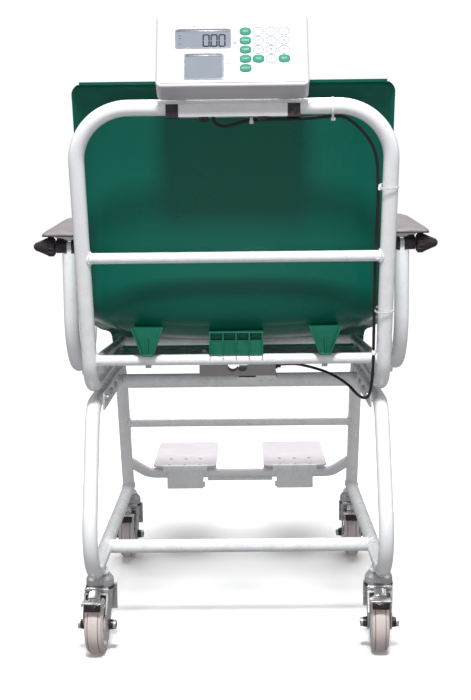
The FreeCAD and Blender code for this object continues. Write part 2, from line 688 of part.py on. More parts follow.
# ---------------------------------------------------------------- seat shell
SHELL_PROFILE = [(-440, 963), (-433, 962), (-427, 955), (-420, 933), (-408, 880), (-397, 815),
                 (-392.5, 740), (-392, 664), (-390, 620), (-380, 586), (-356, 561),
                 (-318, 546), (-260, 537.5), (-170, 530), (-70, 522), (20, 514), (62, 508),
                 (88, 500), (103, 486), (109, 470), (110, 462)]
SHELL_TOP_Z = 963.5
SHELL_FRONT_Z = 462
CORNER_REACH = 90


def profile_curve():
    curve = Part.BSplineCurve()
    curve.interpolate([Vector(0, y, z) for y, z in SHELL_PROFILE])
    return curve


def shell_points(offset):
    """Grid of points of the shell's outer face, or of the face a thickness inside it."""
    curve = profile_curve()
    across = [-1, -0.985, -0.955, -0.9, -0.8, -0.65, -0.45, -0.2, 0, 0.2, 0.45, 0.65, 0.8,
              0.9, 0.955, 0.985, 1]
    steps = 34
    length = curve.length()
    grid = []
    for i in range(steps + 1):
        share = i / steps
        t = curve.parameterAtDistance(length * share, curve.FirstParameter)
        spot = curve.value(t)
        along = curve.tangent(t)[0]
        inward = along.cross(X_AXIS)
        if inward.y + inward.z < 0:
            inward = inward * -1
        # how far the sides wrap forwards: less at the top edge, most at the hips
        hips = math.exp(-((share - 0.5) / 0.22) ** 2)
        top = 1 - math.exp(-share / 0.05)
        front = 1 - math.exp(-(1 - share) / 0.06)
        wrap = (16 + 26 * hips) * top * front
        row_points = []
        for u in across:
            rise = wrap * abs(u) ** 3.2
            lip = s("shell_lip") * math.exp(-((1 - abs(u)) * s("shell_half") / 5.0) ** 2)
            lip *= top * front
            base = spot + inward * (rise - lip + offset)
            row_points.append(Vector(u * s("shell_half"), base.y, base.z))
        grid.append(row_points)
    return grid


def sheet_face(grid):
    surface = Part.BSplineSurface()
    surface.interpolate(grid)
    return surface.toShape()


def corner_tool(side_sign, up_sign, edge_z, start_y, radius):
    """What is cut off to round one corner of the shell, looking along Y."""
    inner_x = s("shell_half") - radius
    low_x = inner_x if side_sign > 0 else -inner_x - 2 * radius
    square = Part.makeBox(2 * radius, CORNER_REACH, 2 * radius,
                          Vector(low_x, start_y, edge_z - radius))
    round_bar = Part.makeCylinder(
        radius, CORNER_REACH,
        Vector(side_sign * inner_x, start_y, edge_z - up_sign * radius), Y_AXIS)
    return square.cut(round_bar)


def shell_solid():
    outer = shell_points(0)
    inner = shell_points(s("shell_thick"))
    outer_face = sheet_face(outer)
    inner_face = sheet_face(inner)
    faces = [outer_face, inner_face]
    for a in outer_face.Edges:
        mid = a.valueAt((a.FirstParameter + a.LastParameter) / 2)
        b = min(inner_face.Edges,
                key=lambda e: (e.valueAt((e.FirstParameter + e.LastParameter) / 2) - mid).Length)
        faces.append(Part.makeRuledSurface(a, b))
    skin = Part.makeShell([f for face in faces for f in face.Faces])
    skin.sewShape()
    solid = Part.makeSolid(Part.Shell(skin.Faces))
    if solid.Volume < 0:
        solid.reverse()
    for side_sign in (-1, 1):
        solid = solid.cut(corner_tool(side_sign, 1, SHELL_TOP_Z, -470, s("shell_corner")))
        solid = solid.cut(corner_tool(side_sign, -1, SHELL_FRONT_Z, 60, s("shell_lip_corner")))
    return solid


shell = doc.addObject("Part::Feature", "seat_shell")
shell.Label = "seat_shell"
shell.Shape = shell_solid()
NODES.append(shell)

bosses = []
for name, x in (("left", -147), ("right", 147)):
    bosses.append(plate("boss_" + name,
                        [(-10, 526.2), (10, 526.2), (24, 572), (-24, 572)], 34, "XZ_Plane",
                        Placement(Vector(x, -364, 0), Rotation()), midplane=True))
RIB_X = -45
RIB_Y = -383
RIB_Z = 526.3
RIB_PITCH = 21.75
RIB_DEPTH = 52
RIB_WALL = 3
ribs = [block("rib_back", (RIB_X, RIB_Y + 11, RIB_Z), (90, RIB_WALL, 34))]
for k in range(5):
    ribs.append(block("rib_%d" % k, (RIB_X + k * RIB_PITCH, RIB_Y, RIB_Z),
                      (RIB_WALL, RIB_DEPTH, 37.7)))
ribs.append(block("rib_floor", (RIB_X, RIB_Y, RIB_Z), (90, RIB_DEPTH, RIB_WALL)))
ribs.append(block("rib_roof", (RIB_X, RIB_Y, RIB_Z + 37.7 - 2), (90, RIB_DEPTH, 2)))
ribs.append(block("rib_face", (RIB_X, RIB_Y + 2, RIB_Z), (90, RIB_WALL, 24)))
bosses.append(joined("rib_block", ribs))
doc.recompute()


def outside_shell(raw):
    """The piece of a boss that lies behind and below the shell's outer face."""
    pieces = raw.Shape.cut(shell.Shape).Solids
    return min(pieces, key=lambda piece: piece.CenterOfMass.y + piece.CenterOfMass.z)


trimmed = doc.addObject("Part::Feature", "shell_bosses")
trimmed.Label = "shell_bosses"
trimmed.Shape = Part.makeCompound([outside_shell(raw) for raw in bosses])
NODES.append(trimmed)

# ---------------------------------------------------------------- load cell
cell_y = s("cell_y")
cell_z = s("cell_base_z")
cell_half = s("cell_length") / 2
cell_raw = block("cell_raw", (-cell_half, cell_y - s("cell_depth") / 2, cell_z),
                 ("cell_length", "cell_depth", "cell_height"))
gauge_mid = cell_z + s("cell_height") / 2
cell_window = joined("cell_window", [
    pin("gauge_hole_left", (-9, cell_y - 40, gauge_mid), (0, 1, 0), 10, 80),
    pin("gauge_hole_right", (9, cell_y - 40, gauge_mid), (0, 1, 0), 10, 80)])
NODES.append(cut("load_cell", cell_raw, cell_window))
NODES[-1].Label = "load_cell"
cross_top = s("cell_crossbar_z") + s("cell_bar_od") / 2
lower = joined("cell_plate_lower", [
    block("lower_tongue", (2, cell_y - 20, cell_z - 8), (72, 165, 5)),
    block("lower_pad", (34, cell_y - 20, cell_z - 3), (37.5, 40, 3)),
    block("lower_riser", (2, s("cell_crossbar_y") - 9, cross_top - 1), (72, 18, 9.5))])
NODES.append(lower)
PLATE_LOW = cell_z + s("cell_height") + 3
upper = joined("cell_plate_upper", [
    block("upper_strip", (-238, cell_y - 60, PLATE_LOW), (476, 120, 5)),
    block("upper_pad", (-71.5, cell_y - 20, PLATE_LOW - 3), (37.5, 40, 3)),
    block("upper_leg_left", (-238, cell_y - 60, 478), (4, 120, PLATE_LOW - 478)),
    block("upper_leg_right", (234, cell_y - 60, 478), (4, 120, PLATE_LOW - 478))])
NODES.append(upper)
gland = joined("cell_gland", [
    pin("gland_body", (cell_half, cell_y, gauge_mid), (1, 0, 0), 6, 10),
    pin("gland_nut", (cell_half, cell_y, gauge_mid), (1, 0, 0), 8, 4)])
NODES.append(gland)

# ---------------------------------------------------------------- fasteners
screws = []


def screw(tag, base, direction, radius, height):
    screws.append(pin("screw_" + tag, base, direction, radius, height))


for sign in (-1, 1):
    side_tag = "l" if sign < 0 else "r"
    screw("shell_" + side_tag, (sign * 147, s("seat_bar_rear_y"), 509), (0, 0, -1), 5, 5)
    for k, y in enumerate((-270, -195, -120, -45)):
        screw("inner_%s%d" % (side_tag, k), (sign * (INNER_BAR_X - 3.5), y, 437),
              (sign, 0, 0), 6.5, 3.5)
for k, x in enumerate((44, 62)):
    screw("cell_low_%d" % k, (x, cell_y, cell_z - 8), (0, 0, -1), 5, 4)
    screw("cell_high_%d" % k, (-x, cell_y, PLATE_LOW + 5), (0, 0, 1), 5, 4)

# ---------------------------------------------------------------- indicator
lean_deg = s("case_lean_deg")
case_place = Placement(Vector(0, s("case_edge_y"), s("case_edge_z")),
                       Rotation(X_AXIS, 90 - lean_deg))
case_w = s("case_width") / 2
case_h = s("case_height")
CASE_CORNER = 9
CASE_EDGE = 3
case = new_body("indicator_housing_core")
face = sketch_on(case, "XY_Plane", "case_outline")
add_loop(face, rectangle(-case_w, 0, case_w, case_h))
doc.recompute()
case_pad = case.newObject("PartDesign::Pad", "case_pad")
case_pad.Profile = face
case_pad.Reversed = True
bind(case_pad, "Length", "case_depth")
doc.recompute()
corner_edges = ["Edge%d" % (k + 1) for k, e in enumerate(case_pad.Shape.Edges)
                if e.BoundBox.ZLength > 10]
case_round = case.newObject("PartDesign::Fillet", "case_round")
case_round.Base = (case_pad, corner_edges)
case_round.Radius = CASE_CORNER
doc.recompute()
rim_edges = ["Edge%d" % (k + 1) for k, e in enumerate(case_round.Shape.Edges)
             if e.BoundBox.ZLength < 0.1]
case_soft = case.newObject("PartDesign::Fillet", "case_soft")
case_soft.Base = (case_round, rim_edges)
case_soft.Radius = CASE_EDGE
doc.recompute()
case.Placement = case_place
TILT = Vector(0, s("tilt_y"), s("tilt_z"))
lugs = []
for sign in (-1, 1):
    tag = "l" if sign < 0 else "r"
    inner = 71.5 if sign > 0 else -78.5
    lug = plate("tilt_lug_" + tag, [(-20, -8), (0, -6.5), (5, -3), (5, 3), (0, 6.5), (-20, 12)],
                7, "YZ_Plane", Placement(Vector(inner, TILT.y, TILT.z), Rotation()))
    lugs.append(lug)
NODES.append(cut("indicator_housing", joined("housing_raw", [case] + lugs),
                 pin("tilt_bore", (-90, TILT.y, TILT.z), (1, 0, 0), 3.05, 180)))
NODES[-1].Label = "indicator_housing"

# key overlay: a thin sheet on the face with 17 raised domes
PANEL_LIFT = 0.9
panel = block("panel_sheet", (-case_w + 7, 6, 0), (s("case_width") - 14, case_h - 12, PANEL_LIFT))
KEY_PITCH_X = 19.4
KEY_PITCH_Y = 16.4
KEY_X0 = 20
KEY_Y0 = 96
KEY_RADIUS = 4.4
KEY_STRETCH = 3.2
KEY_RISE = PANEL_LIFT + 0.6
keys = []
for row_number in range(5):
    for column in range(4):
        digit = column > 0 and row_number < 3
        zero = column == 2 and row_number == 3
        wide = column == 0 or (row_number == 3 and column in (1, 3))
        if not (digit or zero or wide):
            continue
        tag = "key_%d_%d" % (row_number, column)
        cx = KEY_X0 + column * KEY_PITCH_X
        cy = KEY_Y0 - row_number * KEY_PITCH_Y
        stretch = KEY_STRETCH if wide else 0
        keys.append(pin(tag + "_a", (cx - stretch, cy, 0), (0, 0, 1), KEY_RADIUS, KEY_RISE))
        if wide:
            keys.append(pin(tag + "_b", (cx + stretch, cy, 0), (0, 0, 1), KEY_RADIUS, KEY_RISE))
            keys.append(block(tag + "_c", (cx - stretch, cy - KEY_RADIUS, 0),
                              (2 * stretch, 2 * KEY_RADIUS, KEY_RISE)))
# windows: x, y of the low corner, then width and height
WINDOW_ONE = (-85.5, 67, 83, 34)
WINDOW_TWO = (-71.5, 11.6, 57.7, 45)
overlay = joined("overlay_raw", [panel] + keys)
for k, (wx, wy, wl, wh) in enumerate((WINDOW_ONE, WINDOW_TWO)):
    overlay = cut("overlay_cut_%d" % k, overlay,
                  block("overlay_hole_%d" % k, (wx, wy, -5), (wl, wh, 10)))
overlay.Label = "indicator_panel"
overlay.Placement = case_place
NODES.append(overlay)
glass = grouped("display_windows", [
    block("window_%d" % k, (wx + 0.1, wy + 0.1, 0), (wl - 0.2, wh - 0.2, 0.7))
    for k, (wx, wy, wl, wh) in enumerate((WINDOW_ONE, WINDOW_TWO))])
glass.Placement = case_place
NODES.append(glass)

# bracket: a channel under and in front of the push bar, with two ears for the case
bar_y0 = s("push_bar_y")
bar_z0 = s("push_bar_z")
tube_r = s("tube_od") / 2
channel = plate("bracket_channel",
                [(-16, 4), (-16, -15), (16, -15), (16, 22), (13.6, 22), (13.6, -12.6),
                 (-13.6, -12.6), (-13.6, 4)], "2 * bracket_half", "YZ_Plane",
                Placement(Vector(0, bar_y0, bar_z0), Rotation()), midplane=True)
ears = []
for sign in (-1, 1):
    tag = "l" if sign < 0 else "r"
    low = 79 if sign > 0 else -82.5
    ears.append(plate("bracket_ear_" + tag,
                      [(13.7, 14), (15.9, 14), (24, 30), (21, 38), (12, 40), (6, 34)], 3.5,
                      "YZ_Plane", Placement(Vector(low, bar_y0, bar_z0), Rotation())))
ear_web = block("ear_web", (-82.5, bar_y0 + 13.6, bar_z0 + 15), (165, 2.4, 7))
bracket = cut("display_bracket", joined("bracket_raw", [channel, ear_web] + ears),
              pin("ear_bore", (-90, TILT.y, TILT.z), (1, 0, 0), 3.05, 180))
bracket.Label = "display_bracket"
NODES.append(bracket)
pins = []
for sign in (-1, 1):
    tag = "l" if sign < 0 else "r"
    pins.append(joined("tilt_screw_" + tag, [
        pin("tilt_shank_" + tag, (sign * 71, TILT.y, TILT.z), (sign, 0, 0), 3, 14),
        pin("tilt_head_" + tag, (sign * 82.6, TILT.y, TILT.z), (sign, 0, 0), 6.5, 5)]))

clamps = []
for sign in (-1, 1):
    tag = "l" if sign < 0 else "r"
    low = 83.1 if sign > 0 else -83.1 - s("clamp_width")
    raw = joined("clamp_raw_" + tag, [
        block("clamp_low_" + tag, (low, bar_y0 - 17, bar_z0 - 16), ("clamp_width", 34, 20)),
        block("clamp_high_" + tag, (low + 2, bar_y0 - 4, bar_z0), (15, 19, 14.5))])
    clamps.append(cut("clamp_" + tag, raw,
                      pin("clamp_bore_" + tag, (sign * 70, bar_y0, bar_z0), (sign, 0, 0),
                          "tube_od / 2", 45)))
for sign in (-1, 1):
    tag = "l" if sign < 0 else "r"
    clamps.append(joined("clamp_knob_%s" % tag, [
        pin("knob_cap_" + tag, (sign * 45, bar_y0, bar_z0 - 15), (0, 0, -1), 8, 5),
        pin("knob_nose_" + tag, (sign * 45, bar_y0, bar_z0 - 20), (0, 0, -1), 5, 2)]))
NODES.append(grouped("bracket_clamps", clamps))
NODES.append(grouped("fasteners", screws + pins))

# ---------------------------------------------------------------- signal cable
CABLE_GAP = 0.3
r_in = half - s("tube_od") / 2 - s("cable_od") / 2 - CABLE_GAP
under = bar_z0 - tube_r - s("cable_od") / 2 - CABLE_GAP
run_y = bar_y0 + 12.5
low = bar_z0 - 18.5
inside = r_in - 3
CABLE_POINTS = [
    (-30, bar_y0, bar_z0 - 15), (-30, bar_y0, low - 6), (-12, bar_y0 + 4, low - 12),
    (12, run_y, low - 4), (28, run_y, low), (112, run_y, low), (150, bar_y0 + 2, under),
    (177, bar_y0, under - 1), (r_in - 8, upright_y(860), 862), (r_in - 3, upright_y(800), 800),
    (inside, upright_y(745), 745), (inside, upright_y(690) + 14, 690),
    (inside, upright_y(640) + 2, 640), (inside, upright_y(600), 600), (inside, -389.5, 535),
    (inside, -387, 505), (inside - 2, -378, 470), (inside - 6, -366, 447),
    (inside - 20, -348, 447), (190, -322, 466), (160, -255, 477), (118, -175, 479),
    (100, cell_y, gauge_mid + 1), (cell_half + 8, cell_y, gauge_mid)]


def cable_solid():
    corners = [Vector(*p) for p in CABLE_POINTS]
    radii = []
    for i in range(1, len(corners) - 1):
        a = corners[i - 1] - corners[i]
        b = corners[i + 1] - corners[i]
        half_turn = a.getAngle(b) / 2
        reach_most = 0.45 * min(a.Length, b.Length)
        radii.append(min(60.0, max(6.0, reach_most * math.tan(half_turn))))
    pieces = rounded_route([tuple(c) for c in corners], radii)
    wire = Part.Wire([p.toShape() for p in pieces])
    first = (corners[1] - corners[0]).normalize()
    ring = Part.Wire([Part.makeCircle(s("cable_od") / 2, corners[0], first)])
    swept = wire.makePipeShell([ring], True, False, 2)
    expected = wire.Length * math.pi * (s("cable_od") / 2) ** 2
    print("cable length %.1f, volume ratio %.4f" % (wire.Length, swept.Volume / expected))
    return swept


cable = doc.addObject("Part::Feature", "signal_cable")
cable.Label = "signal_cable"
cable.Shape = cable_solid()
NODES.append(cable)

TIES = [((152, bar_y0, bar_z0 - 2.5), (1, 0, 0), 16.2),
        ((half - 2.5, upright_y(800), 800), (0, up_y, up_z), 16.2),
        ((half - 2.5, upright_y(600), 600), (0, up_y, up_z), 16.2)]
ties = []
for k, (centre, way, radius) in enumerate(TIES):
    way = Vector(*way)
    middle = Vector(*centre)
    outer_ring = pin("tie_outer_%d" % k, middle - way * 1.6, way, radius, 3.2)
    inner_ring = pin("tie_inner_%d" % k, middle - way * 4, way, radius - 1, 8)
    ties.append(cut("tie_%d" % k, outer_ring, inner_ring))
NODES.append(grouped("cable_ties", ties))

# ---------------------------------------------------------------- export
doc.recompute()
os.makedirs("parts", exist_ok=True)
whole = FreeCAD.BoundBox()
for item in doc.Objects:
    bad = [state for state in item.State if state in ("Invalid", "Error")]
    if bad:
        print("PROBLEM", item.Name, item.State)
for node in NODES:
    box = node.Shape.BoundBox
    whole.add(box)
    if node.Shape.isNull() or not node.Shape.isValid() or node.Shape.Volume <= 0:
        print("BAD SHAPE", node.Label)
    print("%-28s %2d solids %10.0f mm3  %s" % (
        node.Label, len(node.Shape.Solids), node.Shape.Volume,
        " ".join("%.1f" % v for v in (box.XMin, box.XMax, box.YMin, box.YMax, box.ZMin, box.ZMax))))
    node.Shape.exportStep("parts/%s.step" % node.Label)
print(len(NODES), "nodes", whole)
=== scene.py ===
"""The looks of a chair scale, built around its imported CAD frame. Metres, the CAD's own frame."""
import math

import bmesh
import bpy
from mathutils import Matrix, Vector
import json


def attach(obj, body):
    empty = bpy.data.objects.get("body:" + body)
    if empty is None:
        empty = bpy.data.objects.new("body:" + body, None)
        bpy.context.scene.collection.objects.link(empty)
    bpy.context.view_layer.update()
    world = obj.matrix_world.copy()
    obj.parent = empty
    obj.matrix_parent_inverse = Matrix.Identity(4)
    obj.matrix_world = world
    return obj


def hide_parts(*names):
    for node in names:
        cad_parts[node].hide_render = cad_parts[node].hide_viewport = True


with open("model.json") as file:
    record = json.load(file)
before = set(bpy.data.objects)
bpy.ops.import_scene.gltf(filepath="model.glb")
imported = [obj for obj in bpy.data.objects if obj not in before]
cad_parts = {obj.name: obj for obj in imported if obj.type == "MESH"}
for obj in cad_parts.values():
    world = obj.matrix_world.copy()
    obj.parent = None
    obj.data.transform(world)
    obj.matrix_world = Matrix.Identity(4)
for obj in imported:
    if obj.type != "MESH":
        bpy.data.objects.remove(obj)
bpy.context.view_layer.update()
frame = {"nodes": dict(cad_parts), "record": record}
NODES = frame["nodes"]
scene = bpy.context.scene
scene.view_settings.view_transform = "Standard"
scene.view_settings.look = "None"

# ---------------------------------------------------------------- camera
IMAGE_HEIGHT = 700
FOCAL_PX = 1250  # focal length, in picture rows
SENSOR = 36.0
CLIP_END = 50
CAMERA_PLACE = (0.016, -2.439, 0.799)
PITCH_DOWN = 7.35
YAW_LEFT = 0.48
ROLL = -0.65
camera_data = bpy.data.cameras.new("camera")
camera_data.sensor_fit = "VERTICAL"
camera_data.sensor_height = SENSOR
camera_data.lens = SENSOR * FOCAL_PX / IMAGE_HEIGHT
camera_data.clip_end = CLIP_END
camera = bpy.data.objects.new("camera", camera_data)
camera.location = CAMERA_PLACE
camera.rotation_euler = (Matrix.Rotation(math.radians(YAW_LEFT), 3, "Z")
                         @ Matrix.Rotation(math.radians(90 - PITCH_DOWN), 3, "X")
                         @ Matrix.Rotation(math.radians(ROLL), 3, "Z")).to_euler()
scene.collection.objects.link(camera)
scene.camera = camera


# ---------------------------------------------------------------- materials
# sockets of a colour Mix node, which share their names with its other types
MIX_FACTOR, MIX_A, MIX_B, MIX_RESULT = 0, 6, 7, 2
EDGE_START, EDGE_END = 0.52, 0.62  # pointiness from flat to a sharp edge
DUST_FINER = 2.3  # dust patches against the colour drift
GLOSS_FINER = 3.1  # roughness patches against the colour drift
ORANGE_SCALE = 160  # orange peel
WORN_SCALE = 60


class Graph:
    """Small helper for building a material's node tree."""

    def __init__(self, name):
        self.material = bpy.data.materials.new(name)
        self.material.use_nodes = True
        self.tree = self.material.node_tree
        self.shader = self.tree.nodes["Principled BSDF"]
        self.place = self.tree.nodes.new("ShaderNodeTexCoord")

    def node(self, kind, **values):
        made = self.tree.nodes.new(kind)
        for key, value in values.items():
            setattr(made, key, value)
        return made

    def link(self, out_socket, in_socket):
        self.tree.links.new(out_socket, in_socket)

    def noise(self, scale, detail=4, rough=0.55):
        made = self.node("ShaderNodeTexNoise")
        made.inputs["Scale"].default_value = scale
        made.inputs["Detail"].default_value = detail
        made.inputs["Roughness"].default_value = rough
        self.link(self.place.outputs["Object"], made.inputs["Vector"])
        return made.outputs["Fac"]

    def ramp(self, value, stops):
        made = self.node("ShaderNodeValToRGB")
        ramp = made.color_ramp
        while len(ramp.elements) < len(stops):
            ramp.elements.new(0.5)
        for element, (position, colour) in zip(ramp.elements, stops):
            element.position = position
            element.color = (*colour, 1)
        self.link(value, made.inputs["Fac"])
        return made.outputs["Color"]

    def spread(self, value, low, high, start=0.3, end=0.7):
        made = self.node("ShaderNodeMapRange")
        made.inputs["From Min"].default_value = start
        made.inputs["From Max"].default_value = end
        made.inputs["To Min"].default_value = low
        made.inputs["To Max"].default_value = high
        self.link(value, made.inputs["Value"])
        return made.outputs["Result"]

    def mix(self, factor, tone, colour):
        """A plain colour laid over a tone, as far as factor says."""
        made = self.node("ShaderNodeMix", data_type="RGBA")
        self.link(factor, made.inputs[MIX_FACTOR])
        self.link(tone, made.inputs[MIX_A])
        made.inputs[MIX_B].default_value = (*colour, 1)
        return made.outputs[MIX_RESULT]

    def edges(self):
        """Near 1 on sharp outer edges, from the mesh's own shape."""
        shape = self.node("ShaderNodeNewGeometry")
        return self.spread(shape.outputs["Pointiness"], 0, 1, EDGE_START, EDGE_END)

    def bump(self, height, distance, under=None):
        made = self.node("ShaderNodeBump")
        made.inputs["Distance"].default_value = distance
        self.link(height, made.inputs["Height"])
        if under is not None:
            self.link(under, made.inputs["Normal"])
        self.link(made.outputs["Normal"], self.shader.inputs["Normal"])
        return made.outputs["Normal"]


def srgb(*values):
    """Linear colour of an 8-bit display colour."""
    return tuple((v / 255 / 12.92) if v / 255 <= 0.04045 else ((v / 255 + 0.055) / 1.055) ** 2.4
                 for v in values)


def surface(name, colour, rough, metal=0.0, coat=0.0, coat_rough=0.1, specular=0.5, shift=0.04,
            rough_shift=0.06, patch=6.0, grain=900.0, grain_depth=0.00002, orange=0.0,
            dust=None, dust_amount=0.0, worn=None, worn_amount=0.0):
    """A moulded, painted or plated surface: slow colour drift, roughness patches, fine
    bump, dust in broad patches and worn edges."""
    g = Graph(name)
    shader = g.shader
    shader.inputs["Metallic"].default_value = metal
    shader.inputs["Specular IOR Level"].default_value = specular
    shader.inputs["Coat Weight"].default_value = coat
    shader.inputs["Coat Roughness"].default_value = coat_rough
    drift = g.noise(patch, 5)
    darker = tuple(max(0.0, c * (1 - shift)) for c in colour)
    lighter = tuple(min(1.0, c * (1 + shift)) for c in colour)
    tone = g.ramp(drift, [(0.3, darker), (0.7, lighter)])
    if dust:
        patches = g.spread(g.noise(patch * DUST_FINER, 8, 0.7), 0, dust_amount, 0.45, 0.75)
        tone = g.mix(patches, tone, dust)
    if worn:
        broken = g.node("ShaderNodeMath", operation="MULTIPLY")
        rubbed = g.spread(g.noise(WORN_SCALE, 6, 0.7), 0, worn_amount, 0.45, 0.6)
        g.link(g.edges(), broken.inputs[0])
        g.link(rubbed, broken.inputs[1])
        tone = g.mix(broken.outputs[0], tone, worn)
    g.link(tone, shader.inputs["Base Color"])
    rough_map = g.spread(g.noise(patch * GLOSS_FINER, 6), rough - rough_shift,
                         rough + rough_shift)
    g.link(rough_map, shader.inputs["Roughness"])
    below = None
    if orange:
        below = g.bump(g.noise(ORANGE_SCALE, 2), orange)
    if grain_depth:
        g.bump(g.noise(grain, 3), grain_depth, under=below)
    return g.material


WHITE = srgb(240, 241, 244)
LOOKS = {}


def look(name, colour, rough, **values):
    LOOKS[name] = surface(name, colour, rough, **values)


look("white_enamel", WHITE, 0.28, coat=0.5, coat_rough=0.12, shift=0.012, orange=0.00002,
     dust=srgb(206, 203, 200), dust_amount=0.05, worn=srgb(200, 200, 204), worn_amount=0.25)
look("zinc_steel", srgb(208, 208, 210), 0.32, metal=0.72, shift=0.1, patch=30,
     rough_shift=0.12, grain=400, dust=srgb(140, 132, 126), dust_amount=0.15)
look("grey_tyre", srgb(212, 200, 198), 0.62, shift=0.05, patch=25, grain=700,
     grain_depth=0.00008, dust=srgb(172, 158, 156), dust_amount=0.22)
look("white_plastic", srgb(228, 228, 228), 0.4, shift=0.03, dust=srgb(170, 160, 150),
     dust_amount=0.2)
look("green_shell", srgb(4, 88, 74), 0.3, coat=0.06, coat_rough=0.12, specular=0.28, patch=3,
     orange=0.0001, grain=1500, grain_depth=0.00001, dust=srgb(40, 112, 98), dust_amount=0.06)
look("pad_grey", srgb(112, 103, 106), 0.5, shift=0.07, patch=12, grain=520,
     grain_depth=0.0002, dust=srgb(150, 140, 138), dust_amount=0.25)
look("black_plastic", srgb(44, 36, 42), 0.42, shift=0.1, patch=20, grain=800,
     grain_depth=0.00005, worn=srgb(110, 100, 106), worn_amount=0.35)
look("case_grey", srgb(186, 182, 188), 0.45, shift=0.02, patch=12, grain=1200,
     grain_depth=0.00006)
look("overlay_white", srgb(214, 217, 226), 0.6, specular=0.3, shift=0.01, patch=8, grain=1500,
     grain_depth=0.00002)
look("display_glass", srgb(118, 125, 136), 0.6, specular=0.25, shift=0.02, patch=10,
     grain=1500, grain_depth=0.000005)
look("plate_enamel", srgb(200, 194, 200), 0.42, coat=0.15, shift=0.012,
     dust=srgb(176, 168, 172), dust_amount=0.05, worn=srgb(222, 218, 222), worn_amount=0.3)
look("cell_aluminium", srgb(196, 190, 192), 0.35, metal=1.0, shift=0.06, patch=25, grain=300)
look("bracket_grey", srgb(168, 160, 160), 0.4, coat=0.2, shift=0.05, patch=20,
     dust=srgb(120, 108, 106), dust_amount=0.3, worn=srgb(214, 208, 206), worn_amount=0.5)
look("seal_black", srgb(22, 18, 20), 0.5, shift=0.15, patch=40, grain=900,
     grain_depth=0.00004, worn=srgb(90, 80, 84), worn_amount=0.3)
look("cap_black", srgb(40, 24, 30), 0.3, coat=0.3, shift=0.12, patch=30, grain=700,
     grain_depth=0.00003, worn=srgb(120, 110, 114), worn_amount=0.3)
look("boss_green", srgb(10, 98, 78), 0.4, coat=0.05, specular=0.35, shift=0.06, patch=20,
     grain=1200, grain_depth=0.00003, dust=srgb(80, 130, 116), dust_amount=0.15)
look("tread_dark", srgb(128, 112, 110), 0.7, shift=0.1, patch=30, grain=700,
     grain_depth=0.00006)
look("key_green", srgb(48, 134, 108), 0.6, specular=0.3, shift=0.03, patch=40, grain=1400,
     grain_depth=0.00003)
look("key_ink", srgb(170, 196, 188), 0.5, shift=0.03, patch=60, grain=1500,
     grain_depth=0.00001)
look("panel_ink", srgb(58, 62, 74), 0.65, specular=0.12, shift=0.06, patch=60, grain=1500,
     grain_depth=0.00001)
look("ring_ink", srgb(112, 124, 132), 0.65, specular=0.12, shift=0.04, patch=60, grain=1500,
     grain_depth=0.00001)
look("lcd_ink", srgb(22, 22, 38), 0.7, specular=0.08, shift=0.08, patch=60, grain=1500,
     grain_depth=0.00001)
# Dark grey of the window bezels, also used for the painted bezel shadow on the windows.
look("bezel_and_painted_shadow", srgb(72, 72, 84), 0.35, shift=0.06, patch=40, grain=1200, grain_depth=0.00003)
look("clip_white", srgb(226, 226, 230), 0.45, shift=0.04, patch=30, grain=900,
     grain_depth=0.00004, dust=srgb(170, 160, 160), dust_amount=0.2)
look("cable_black", srgb(32, 26, 28), 0.45, shift=0.1, patch=40, grain=900,
     grain_depth=0.00004)
OWN_LOOKS = {"display_bracket": "clip_white", "cable_ties": "clip_white",
             "shell_bosses": "boss_green", "footplate_left": "plate_enamel",
             "footplate_right": "plate_enamel", "footplate_hinge_left": "white_enamel",
             "footplate_hinge_right": "white_enamel"}
for entry in frame["record"]["subparts"]:
    mesh = NODES[entry["node"]].data
    mesh.materials.clear()
    mesh.materials.append(LOOKS[OWN_LOOKS.get(entry["node"], entry["material_slot"])])


# ---------------------------------------------------------------- building pieces
LETTER_THICK = 0.00008
RIPPLE_STEP = 2.4  # phase of a weld bead's ripple, from one ring to the next


